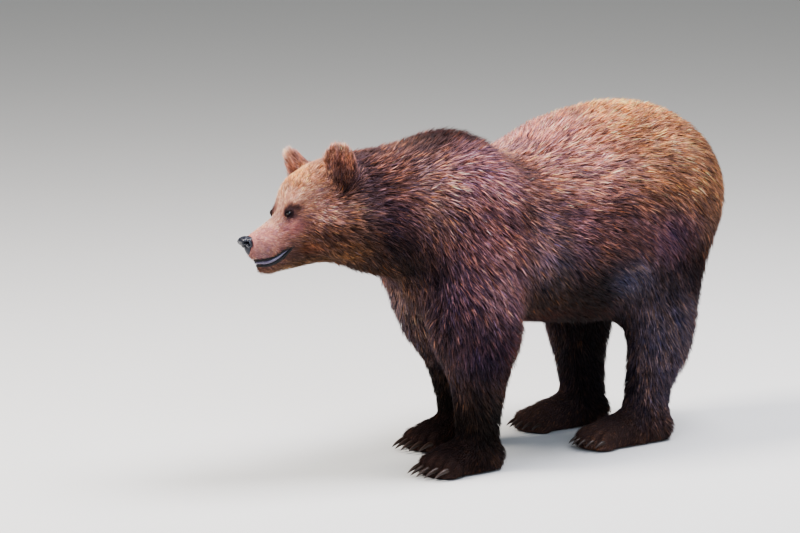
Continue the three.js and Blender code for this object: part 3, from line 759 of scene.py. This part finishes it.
def eyeMaterial():
    material, nodes, links, shader = newMaterial("eyeGlass")
    ring = nodes.new("ShaderNodeAttribute")
    ring.attribute_name = "fromPupil"
    ramp = nodes.new("ShaderNodeValToRGB")
    stops = ((0.0, "#050505"), (0.30, "#060505"), (0.34, "#2e1a0e"), (0.56, "#3d2414"), (0.62, "#0f0a08"),
             (1.0, "#1c1512"))
    while len(ramp.color_ramp.elements) < len(stops):
        ramp.color_ramp.elements.new(0.5)
    for element, (at, code) in zip(ramp.color_ramp.elements, stops):
        element.position = at
        element.color = (*linear(code), 1)
    links.new(ring.outputs["Fac"], ramp.inputs["Fac"])
    links.new(ramp.outputs["Color"], shader.inputs["Base Color"])
    fill(shader, {"Roughness": 0.12, "Coat Weight": 0.3, "Coat Roughness": 0.08})
    return material


eyeGlass = eyeMaterial()

# Eyes: a ball with a raised cornea, turned along its gaze, and lids laid round it
eyeSizes = dict(radius=0.0108, cornea=0.0012, segments=40, rings=28)
lidSizes = dict(slit=radians(60), above=radians(13), below=radians(17), corner=1.7, thickness=0.0022,
                reach=0.026, around=56, outward=7, slope=radians(24))


def eyeAxes(eye):
    gaze = headWay(0.72, 0.68 * eye["side"], 0.05)
    front = headWay(1, 0, 0)
    along = (front - gaze * front.dot(gaze)).normalized()      # towards the inner corner
    up = headWay(0, 0, 1)
    up = (up - gaze * up.dot(gaze) - along * up.dot(along)).normalized()
    slope = lidSizes["slope"]
    return gaze, along * cos(slope) - up * sin(slope), up * cos(slope) + along * sin(slope)


def makeEye(name, eye):
    gaze, along, up = eyeAxes(eye)
    bm = bmesh.new()
    bmesh.ops.create_uvsphere(bm, u_segments=eyeSizes["segments"], v_segments=eyeSizes["rings"],
                              radius=eyeSizes["radius"])
    turn = gaze.to_track_quat("Z", "Y").to_matrix()
    layer = bm.verts.layers.float.new("fromPupil")
    for vert in bm.verts:
        polar = Vector((0, 0, 1)).angle(vert.co) / (pi / 2)
        vert[layer] = min(1.0, polar)
        raised = eyeSizes["cornea"] * max(0.0, 1 - (polar / 0.6) ** 2)
        vert.co = turn @ (vert.co * (1 + raised / eyeSizes["radius"])) + eye["middle"]
    piece = newPiece("eyeball_" + name, bm, eyeGlass)
    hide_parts("eye_" + name)
    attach(piece, "root")


def lidRings(eye):
    # From under the rim of the lids, over it and out to the skin
    gaze, along, up = eyeAxes(eye)
    middle = eye["middle"]
    radius, many, outward = eyeSizes["radius"], lidSizes["around"], lidSizes["outward"]
    corner, thickness = lidSizes["corner"], lidSizes["thickness"]
    steps = [(-0.07, 0.2), (-0.03, 0.6), (0.02, 1.0), (0.10, 1.15), (0.22, 1.1), (0.40, 0.8)]
    rings = []
    for step in range(len(steps) + outward):
        ring = []
        for n in range(many):
            around = 2 * pi * n / many
            c, s = cos(around), sin(around)
            tall = lidSizes["above"] if s > 0 else lidSizes["below"]
            rim = 1 / ((abs(c) / lidSizes["slit"]) ** corner + (abs(s) / tall) ** corner) ** (1 / corner)
            way = along * c + up * s
            if step < len(steps):
                opened, thick = steps[step]
                polar = rim + opened * 1.4
                reach = radius + thickness * thick
                ring.append(middle + (gaze * cos(polar) + way * sin(polar)) * reach)
            else:
                share = (step - len(steps) + 1) / outward
                polar = rim + steps[-1][0] * 1.4
                inner = middle + (gaze * cos(polar) + way * sin(polar)) * (radius + thickness * 0.8)
                start = sin(polar) * radius
                out = start + (lidSizes["reach"] - start) * share
                hit = skinTree.ray_cast(middle + way * out + gaze * 0.05, -gaze)[0]
                hit = hit if hit else middle + way * out
                hit = hit - gaze * 0.002 * max(0.0, share * 3 - 2)
                blend = share * share * (3 - 2 * share)
                ring.append(inner.lerp(hit, blend) if share < 1 else hit)
        rings.append(ring)
    return rings


def makeLids():
    bm = bmesh.new()
    for eye in eyes.values():
        loftRings(bm, lidRings(eye))
    bmesh.ops.recalc_face_normals(bm, faces=bm.faces)
    return asMesh("eyelids", bm)


for name, eye in eyes.items():
    makeEye(name, eye)
lids = makeLids()
print("eyes and lids")


# Nose: pads joined and rounded, with nostrils and a groove pressed in, and painted shade darkening the
# nostrils
nose = dict(voxel=0.0012, rounds=5,
            pads=[((262, 0, -50), (14, 17, 9)), ((265, 10, -53), (10, 10, 9)), ((265, -10, -53), (10, 10, 9)),
                  ((257, 16, -60), (9, 10, 13)), ((257, -16, -60), (9, 10, 13)),
                  ((257, 0, -74), (9, 11, 16)), ((250, 0, -58), (10, 21, 14))],
            nostrils=[((277, 13, -60), (266, 23, -57), 4.2, 13), ((266, 23, -58), (259, 27, -72), 2.6, 8)],
            groove=((278, 0, -56), (266, 0, -94), 1.5, 3.2), front=(236, 250))


def nearSegment(points, one, two):
    one, two = np.array(one, float), np.array(two, float)
    way = two - one
    share = np.clip(((points - one) @ way) / (way @ way), 0, 1)
    return np.linalg.norm(points - (one + share[:, None] * way), axis=1)


def makeNose():
    bm = bmesh.new()
    for at, reach in nose["pads"]:
        made = bmesh.ops.create_icosphere(bm, subdivisions=4, radius=1)["verts"]
        for vert in made:
            x, y, z = vert.co
            vert.co = headPoint(at[0] + x * reach[0], at[1] + y * reach[1], at[2] + z * reach[2])
    mesh = remeshed(newPiece("nosePads", bm), nose["voxel"])
    points = relaxed(mesh, pointsOf(mesh), np.ones(len(mesh.vertices)), nose["rounds"])
    setPoints(mesh, points)
    where = headMeasures(points)
    sink, nostrilShade = np.zeros(len(points)), np.zeros(len(points))
    for one, two, width, deep in nose["nostrils"]:
        for side in (1, -1):
            flip = np.array([1, side, 1])
            near = nearSegment(where, np.array(one) * flip, np.array(two) * flip)
            sink = np.maximum(sink, deep * (1 - soft(width * 0.55, width * 1.25, near)))
            # painted shade inside the nostrils
            nostrilShade = np.maximum(nostrilShade, 1 - soft(width * 0.5, width * 1.3, near))
    one, two, width, deep = nose["groove"]
    sink = np.maximum(sink, deep * np.exp(-(nearSegment(where, one, two) / width) ** 2))
    sink *= soft(*nose["front"], where[:, 0])
    points = points - normalsOf(mesh) * sink[:, None] / 1000
    setPoints(mesh, relaxed(mesh, points, np.full(len(points), 0.5), 1))
    mesh.attributes.new("paintedShade", "FLOAT", "POINT").data.foreach_set("value", nostrilShade)
    return newPiece("nosePad", mesh, noseMaterial)


nosePad = makeNose()
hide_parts("nose")
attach(nosePad, "root")

# Lips: rolls along the mouth, from one corner round the front to the other
mouthRolls = {
    "upper": dict(path=[(157, 50, -98), (172, 46, -97), (190, 40, -103), (209, 33, -110), (232, 24, -110),
                        (250, 10, -108)], radius=[2.6, 3.0, 2.8, 2.6, 2.8, 3.2], sunk=2.6),
    "lower": dict(path=[(176, 44, -104), (186, 40, -107), (198, 36, -112), (212, 28, -115), (228, 18, -116),
                        (241, 8, -114)], radius=[0.6, 2, 3.6, 4.4, 4.4, 3.6], sunk=0.8),
    "rim": dict(path=[(158, 49, -100), (172, 44, -108), (190, 37, -118), (208, 29, -123.5), (228, 18, -124.5),
                      (243, 8, -122.5)], radius=[2.4, 3.4, 4.2, 4.6, 4.6, 4.4], sunk=3.2),
    # inside: a dark sheet behind the lips, painted shade of the open mouth
    "inside": dict(path=[(158, 40, -99), (172, 38, -103), (190, 32, -109), (208, 25, -115), (226, 16, -116),
                         (240, 7, -114)], radius=[4, 7, 9, 10, 10, 9], sunk=11),
}


def lipRoll(name, lip):
    half = [(place, size) for place, size in zip(lip["path"], lip["radius"])]
    whole = half + [((f, -v, w), size) for (f, v, w), size in reversed(half)]
    curve = bpy.data.curves.new(name, "CURVE")
    curve.dimensions = "3D"
    curve.bevel_depth = 0.001
    curve.bevel_resolution = 5
    curve.resolution_u = 8
    curve.use_fill_caps = True
    spline = curve.splines.new("BEZIER")
    spline.bezier_points.add(len(whole) - 1)
    for knot, ((forward, left, up), size) in zip(spline.bezier_points, whole):
        place = headPoint(forward, left, up)
        outward = headWay(0.25 if forward < 236 else 1.0, 0.9 * (1 if left > 0 else -1), -0.15)
        hit = skinTree.ray_cast(place + outward * 0.06, -outward)[0] or place
        knot.co = hit - outward * lip["sunk"] / 1000
        knot.radius = size
        knot.handle_left_type = knot.handle_right_type = "AUTO"
    holder = bpy.data.objects.new(name, curve)
    scene.collection.objects.link(holder)
    return finished(holder)


def makeLips(label, names, material):
    bm = bmesh.new()
    for name in names:
        bm.from_mesh(lipRoll(name, mouthRolls[name]))
    bmesh.ops.recalc_face_normals(bm, faces=bm.faces)
    piece = newPiece(label, bm, material)
    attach(piece, "root")


makeLips("lips", ["lower"], lipHighlightMaterial)
makeLips("darkLipsAndMouthShade", ["upper", "rim", "inside"], darkLipAndMouthShadeMaterial)
print("nose and lips")


# Skin pressed in behind the nose and along the mouth, and the skin under the lids found
mouth = dict(forward=[157, 172, 190, 208, 228, 244], middle=[-99, -104, -110, -115, -116, -112],
             halfHeight=[2, 7, 11.5, 12.5, 11.5, 10], deep=0.010, starts=(140, 156))
behindNose = dict(at=(250, 0, -62), reach=(22, 24, 22), deep=0.005)
lidOpening = dict(radius=0.0215, behind=0.03, reach=0.05)


def mouthGap(where):
    # How far a head measure lies from the middle of the mouth's line, over the line's half height
    middle = np.interp(where[:, 0], mouth["forward"], mouth["middle"])
    half = np.interp(where[:, 0], mouth["forward"], mouth["halfHeight"])
    beyond = np.maximum(mouth["forward"][0] - where[:, 0], 0) / 4
    return np.hypot((where[:, 2] - middle) / half, beyond)


points = pointsOf(skinMesh)
normals = normalsOf(skinMesh)
where = headMeasures(points)
press = mouth["deep"] * (1 - soft(0.55, 1.1, mouthGap(where))) * soft(*mouth["starts"], where[:, 0])
points = points - normals * press[:, None]
covered = np.zeros(len(points), bool)
for eye in eyes.values():
    gaze = np.array(eyeAxes(eye)[0])
    apart = points - np.array(eye["middle"])
    off = np.linalg.norm(apart - (apart @ gaze)[:, None] * gaze, axis=1)
    near = (off < lidOpening["radius"]) & (np.linalg.norm(apart, axis=1) < lidOpening["reach"])
    covered |= near & (apart @ gaze > -lidOpening["behind"])
toNose = (((where - behindNose["at"]) / np.array(behindNose["reach"])) ** 2).sum(1)
points = points - normals * (behindNose["deep"] * (1 - soft(0.6, 1.1, toNose)))[:, None]
setPoints(skinMesh, points)


def withLids(mesh):
    # The skin opened over the eyes, with the lids laid over the openings
    bm = bmesh.new()
    bm.from_mesh(mesh)
    bmesh.ops.delete(bm, geom=[v for v, gone in zip(bm.verts, covered) if gone], context="VERTS")
    bm.from_mesh(lids)
    return asMesh("skin", bm)


skinMesh = withLids(skinMesh)
skinPiece = newPiece("skin", skinMesh, skinMaterial)


def unwrap(piece):
    bpy.ops.object.select_all(action="DESELECT")
    bpy.context.view_layer.objects.active = piece
    piece.select_set(True)
    piece.data.uv_layers.new(name="OFBake")
    bpy.ops.object.mode_set(mode="EDIT")
    bpy.ops.mesh.select_all(action="SELECT")
    bpy.ops.uv.smart_project(angle_limit=radians(66), island_margin=0.002)
    bpy.ops.object.mode_set(mode="OBJECT")


unwrap(skinPiece)
print("skin unwrapped")


def giveColour(mesh, colours):
    layer = mesh.color_attributes.new("coatColour", "FLOAT_COLOR", "POINT")
    full = np.ones((len(mesh.vertices), 4))
    full[:, :3] = colours
    layer.data.foreach_set("color", full.ravel())


skinUnderShade = dict(underShort=0.8, underLong=0.36)    # shares of the coat's colour, lower under long hair: painted shade beneath the coat
points = pointsOf(skinMesh)
lengthHere, = coatAt(points, ["length"])
darker = (skinUnderShade["underShort"] - skinUnderShade["underLong"]) * soft(0.008, 0.025, lengthHere)
shade = skinUnderShade["underShort"] - darker
giveColour(skinMesh, painted(points) * shade[:, None])
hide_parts(*flesh)
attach(skinPiece, "root")


# Claws: curved horns, a little flatter below
claws = dict(sides=10, rings=9, sunk=0.010, bend=0.0045, front=dict(width=0.0062, height=0.0078),
             hind=dict(width=0.0054, height=0.0066))


def makeClaws(pair, side):
    bm = bmesh.new()
    size = claws[pair]
    nodes = [f"{pair}_claw_{side}_{n}" for n in range(1, 6)]
    for node in nodes:
        low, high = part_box(node)
        root = Vector(((low.x + high.x) / 2, high.y + claws["sunk"], high.z - 0.006))
        tip = Vector((root.x, low.y, low.z + 0.0005))
        rings = []
        for n in range(claws["rings"]):
            share = n / (claws["rings"] - 1)
            bend = sin(share * pi) * claws["bend"]
            place = root.lerp(tip, share) + Vector((0, 0, bend))
            slim = (1 - share ** 2.2) ** 0.7 if share < 1 else 0.06
            ring = []
            for m in range(claws["sides"]):
                around = 2 * pi * m / claws["sides"]
                x, z = cos(around), sin(around)
                lift = size["height"] * slim * z * (1.0 if z > 0 else 0.8)
                ring.append(place + Vector((x * size["width"] * slim, lift * 0.35, lift)))
            rings.append(ring)
        loftRings(bm, rings, closeStart=True, closeEnd=True)
    bmesh.ops.recalc_face_normals(bm, faces=bm.faces)
    piece = newPiece(f"{pair}Claws_{side}", bm, clawMaterial)
    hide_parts(*nodes)
    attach(piece, "root")


for pair in ("front", "hind"):
    for side in ("left", "right"):
        makeClaws(pair, side)
print("claws")


# Coat: tufts of hair rooted on the skin, each a bent or a straight spike
coat = dict(sunk=0.002, thickness=0.42, clump=0.021, lock=0.007, pull=0.5, limit=190000,
            swirl=dict(broad=0.38, fine=0.24, each=0.16),
            # light: brightness from random locks, waves, streaks and mottling, and painted shade at the
            # clumps' edges
            light=dict(lock=0.38, wave=0.42, streak=0.72, edge=-0.45, mottle=0.9),
            warmth=dict(each=0.08, lock=0.09, streak=0.25, light=0.14))
tuftKinds = {    # "short" and "long" are tufts per square of the spacing, where the hair is that
    # shades along each tuft, root to tip: dark roots, darker roots and painted shade between the hairs; light
    # tips, lighter tips and a painted highlight
    "bent": dict(short=0, long=0.86, slim=0.64, lift=1.12, random=0.34,
                 shades=[0.32, 0.32, 0.34, 0.85, 0.85, 0.9, 1.6],
                 faces=[(0, 1, 2), (0, 3, 4), (0, 4, 1), (1, 4, 5), (1, 5, 2), (2, 5, 3), (2, 3, 0),
                        (3, 6, 4), (4, 6, 5), (5, 6, 3)]),
    "spike": dict(short=1.5, long=1.15, slim=0.46, lift=1.2, random=0.5, shades=[0.6, 0.6, 0.6, 1.7],
                  faces=[(0, 2, 1), (0, 1, 3), (1, 2, 3), (2, 0, 3)]),
}
bare = dict(eye=(0.0155, 0.0095), eyeReach=0.04, mouth=(148, -150, -80), nose=(252, 0, -62),
            noseReach=(24, 30, 26))
coatRegions = {    # names of the coat's pieces and where their middles are
    "coat_muzzle": headPoint(225, 0, -80), "coat_forehead": headPoint(110, 0, 40),
    "coat_cheek_left": headPoint(90, 85, -60), "coat_cheek_right": headPoint(90, -85, -60),
    "coat_ears": headPoint(0, 0, 110),
    "coat_neck": Vector((-0.02, -0.36, 0.66)), "coat_shoulder_left": Vector((0.2, -0.12, 0.56)),
    "coat_shoulder_right": Vector((-0.2, -0.12, 0.56)), "coat_back": Vector((0, 0.12, 0.80)),
    "coat_flank_left": Vector((0.22, 0.14, 0.5)), "coat_flank_right": Vector((-0.22, 0.14, 0.5)),
    "coat_rump_left": Vector((0.16, 0.5, 0.68)), "coat_rump_right": Vector((-0.16, 0.5, 0.68)),
    "coat_front_leg_left": Vector((0.14, -0.2, 0.16)), "coat_front_leg_right": Vector((-0.13, 0.0, 0.16)),
    "coat_hind_leg_left": Vector((0.146, 0.44, 0.18)), "coat_hind_leg_right": Vector((-0.13, 0.44, 0.18)),
}


def rootsOn(mesh, kind):
    # Roots spread over the skin by its zones' spacing, each with normal and place on the unwrap
    mesh.calc_loop_triangles()
    many = len(mesh.loop_triangles)
    corners, loops = np.empty(many * 3, int), np.empty(many * 3, int)
    mesh.loop_triangles.foreach_get("vertices", corners)
    mesh.loop_triangles.foreach_get("loops", loops)
    corners, loops = corners.reshape(-1, 3), loops.reshape(-1, 3)
    points, normals = pointsOf(mesh), normalsOf(mesh)
    flat = np.empty(len(mesh.loops) * 2)
    mesh.uv_layers["OFBake"].data.foreach_get("uv", flat)
    uv = flat.reshape(-1, 2)
    a, b, c = (points[corners[:, k]] for k in range(3))
    area = np.linalg.norm(np.cross(b - a, c - a), axis=1) / 2
    middle = (a + b + c) / 3
    spacing, length = coatAt(middle, ["spacing", "length"])
    share = soft(0.012, 0.018, length)
    share = kind["short"] * (1 - share) + kind["long"] * share
    wanted = np.cumsum(area * bareness(middle) / spacing ** 2 * share) + 0.5
    count = np.diff(np.floor(wanted), prepend=0).astype(int)
    face = np.repeat(np.arange(many), count)
    one, two = chance.random((2, len(face)))
    over = one + two > 1
    one[over], two[over] = 1 - one[over], 1 - two[over]
    shares = np.stack([1 - one - two, one, two], 1)[:, :, None]
    place = (points[corners[face]] * shares).sum(1)
    normal = unit((normals[corners[face]] * shares).sum(1))
    onMap = (uv[loops[face]] * shares).sum(1)
    return place, normal, onMap


def bareness(points):
    # 1 where hair grows, 0 on eyes, nose, mouth and soles
    keep = soft(0.004, 0.012, points[:, 2])
    where = headMeasures(points)
    for eye in eyes.values():
        gaze, along, up = (np.array(axis) for axis in eyeAxes(eye))
        apart = points - np.array(eye["middle"])
        wide, tall = bare["eye"]
        toRim = soft(0.9, 1.1, np.hypot((apart @ along) / wide, (apart @ up) / tall))
        keep = keep * np.where(np.linalg.norm(apart, axis=1) < bare["eyeReach"], toRim, 1)
    corner, low, high = bare["mouth"]
    byMouth = (where[:, 0] > corner) & (where[:, 2] > low) & (where[:, 2] < high)
    keep = keep * np.where(byMouth, soft(0.75, 1.0, mouthGap(where)), 1)
    toPad = (((where - bare["nose"]) / np.array(bare["noseReach"])) ** 2).sum(1)
    return keep * soft(0.85, 1.05, toPad)


def smoothNoise(points, scale, shift):
    return np.array([noise.noise(Vector(p) * scale + Vector((shift, 0, 0))) for p in points])


def clumped(place, size):
    # The nearest clump's root for each tuft
    cells = np.floor(place / size).astype(int)
    order = chance.permutation(len(place))
    keys = cells[order] @ np.array([73856093, 19349663, 83492791])
    chosen = order[np.unique(keys, return_index=True)[1]]
    tree = KDTree(len(chosen))
    for n, index in enumerate(chosen):
        tree.insert(place[index], n)
    tree.balance()
    return chosen, np.array([tree.find(p)[1] for p in place])


def streaked(place, lie):
    # Noise drawn out along the hair
    drawn = place - lie * (place * lie).sum(1)[:, None] * 0.75
    return smoothNoise(drawn, 34, 40)


def growTufts(kind, place, normal, onMap):
    # Corners, colours and map places of one kind of tuft
    many = len(place)
    lie, length, depth, width = coatAt(place, ["lie", "length", "depth", "width"])
    lie = unit(lie - (lie * normal).sum(1)[:, None] * normal)
    across = np.cross(normal, lie)
    swirls, lights, warmth = coat["swirl"], coat["light"], coat["warmth"]
    swirl = (swirls["broad"] * smoothNoise(place, 7, 3) + swirls["fine"] * smoothNoise(place, 22, 9)
             + chance.normal(0, swirls["each"], many))
    lie = unit(lie * np.cos(swirl)[:, None] + across * np.sin(swirl)[:, None])
    longHair = soft(0.010, 0.030, length)
    length = length * chance.uniform(0.7, 1.2, many)
    wave = smoothNoise(place, 14, 20)
    streak = streaked(place, lie)
    mottle = (0.8 * smoothNoise(place, 260, 60) + 0.6 * smoothNoise(place, 90, 70)
              + 0.5 * smoothNoise(place, 38, 80))
    chosen, mine = clumped(place, coat["clump"])
    lockHeads, myLock = clumped(place, coat["lock"])
    lockTint = chance.normal(0, 1, len(lockHeads))[myLock]
    lockWarm = chance.normal(0, 1, len(lockHeads))[myLock]
    chance.normal(0, 1, len(chosen))    # not used, but it keeps the draws after it as they are
    clumpLift = chance.uniform(0.8, 1.05, len(chosen))[mine]
    towards = place[chosen[mine]] - place
    towards -= (towards * normal).sum(1)[:, None] * normal
    away = np.linalg.norm(towards, axis=1)
    pull = coat["pull"] * longHair[:, None]
    # Tufts near a clump's edge lie lower and are painted darker, painted shade in the gaps between clumps
    edge = soft(0.3, 0.9, away / (coat["clump"] * 0.62)) * longHair
    lift = depth * kind["lift"] * chance.uniform(0.78, 1.0, many) * clumpLift
    lift = lift * (1 - 0.25 * edge) * (1 + 0.12 * wave)
    flat = np.sqrt(np.maximum(length ** 2 - lift ** 2, (0.4 * length) ** 2))
    tip = place + lie * flat[:, None] + normal * lift[:, None] + towards * pull
    bend = place + lie * (flat * 0.42)[:, None] + normal * (lift * 0.62)[:, None] + towards * pull * 0.35
    root = place - normal * (coat["sunk"] * (0.2 + 0.8 * longHair))[:, None]
    for level in (tip, bend, root):
        level[:, 2] = np.maximum(level[:, 2], 0.0015)
    across = unit(np.cross(normal, lie))
    half = (width * kind["slim"] * chance.uniform(0.7, 1.3, many) / 2)[:, None]
    thick = half * 2 * coat["thickness"]
    tilted = unit(across + normal * chance.normal(0, 0.35, many)[:, None])
    corners = [root + tilted * half * 0.8, root - tilted * half * 0.8, root + normal * thick * 0.8]
    if len(kind["shades"]) > 4:
        corners += [bend + tilted * half, bend - tilted * half, bend + normal * thick]
    corners = np.stack(corners + [tip], 1)
    light = (kind["random"] * chance.normal(0, 1, many) + lights["lock"] * lockTint * (0.4 + 0.6 * longHair)
             + lights["wave"] * wave + lights["streak"] * streak + lights["edge"] * edge
             + lights["mottle"] * mottle * (1 - longHair))
    warm = (warmth["each"] * chance.normal(0, 1, many) + warmth["lock"] * lockWarm
            + warmth["streak"] * streak + warmth["light"] * light)
    tone = painted(place) * np.exp(light[:, None] + warm[:, None] * np.array([0.6, 0, -1.3]))
    # Roots painted warmer and tips cooler, so that the tips' painted highlight is bluish
    shades = (np.array(kind["shades"])[:, None] ** np.array([0.88, 1.0, 1.16]))[None]
    colours = np.clip(tone[:, None, :] * shades, 0.0015, 0.9)
    spread = np.array([(-1, -1), (1, -1), (0, -1), (-1, 0), (1, 0), (0, 0), (0, 1.2)])
    if len(kind["shades"]) == 4:
        spread = spread[[0, 1, 5, 6]]
    return corners, colours, onMap[:, None, :] + spread[None] * 0.0013


def makeCoat():
    # One piece, or a few where there are many tufts, for each region
    grown = []
    for kind in tuftKinds.values():
        place, normal, onMap = rootsOn(skinMesh, kind)
        spots = np.array(list(coatRegions.values()))
        region = np.concatenate([np.linalg.norm(some[:, None] - spots[None], axis=2).argmin(1)
                                 for some in np.array_split(place, 8)])
        grown.append((region, np.array(kind["faces"]), *growTufts(kind, place, normal, onMap)))
        print("tufts", len(place))
    total = 0
    for n, name in enumerate(coatRegions):
        size = sum((region == n).sum() * len(faces) for region, faces, *_ in grown)
        parts = max(1, int(np.ceil(size / coat["limit"])))
        for part in range(parts):
            points, triangles, colours, maps = [], [], [], []
            first = 0
            for region, faces, corners, tones, spread in grown:
                own = np.array_split(np.flatnonzero(region == n), parts)[part]
                wide = corners.shape[1]
                joined = (faces[None] + wide * np.arange(len(own))[:, None, None]).reshape(-1, 3)
                points.append(corners[own].reshape(-1, 3))
                colours.append(tones[own].reshape(-1, 3))
                maps.append(spread[own].reshape(-1, 2)[joined.ravel()])
                triangles.append(joined + first)
                first += len(own) * wide
            label = name if parts == 1 else f"{name}_{part + 1}"
            mesh = bpy.data.meshes.new(label)
            mesh.from_pydata(np.concatenate(points), [], np.concatenate(triangles))
            giveColour(mesh, np.concatenate(colours))
            mesh.uv_layers.new(name="OFBake").data.foreach_set("uv", np.concatenate(maps).ravel())
            piece = newPiece(label, mesh, hairMaterial)
            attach(piece, "root")
            total += len(mesh.polygons)
            print(label, len(mesh.polygons))
    return total


print("coat triangles", makeCoat())
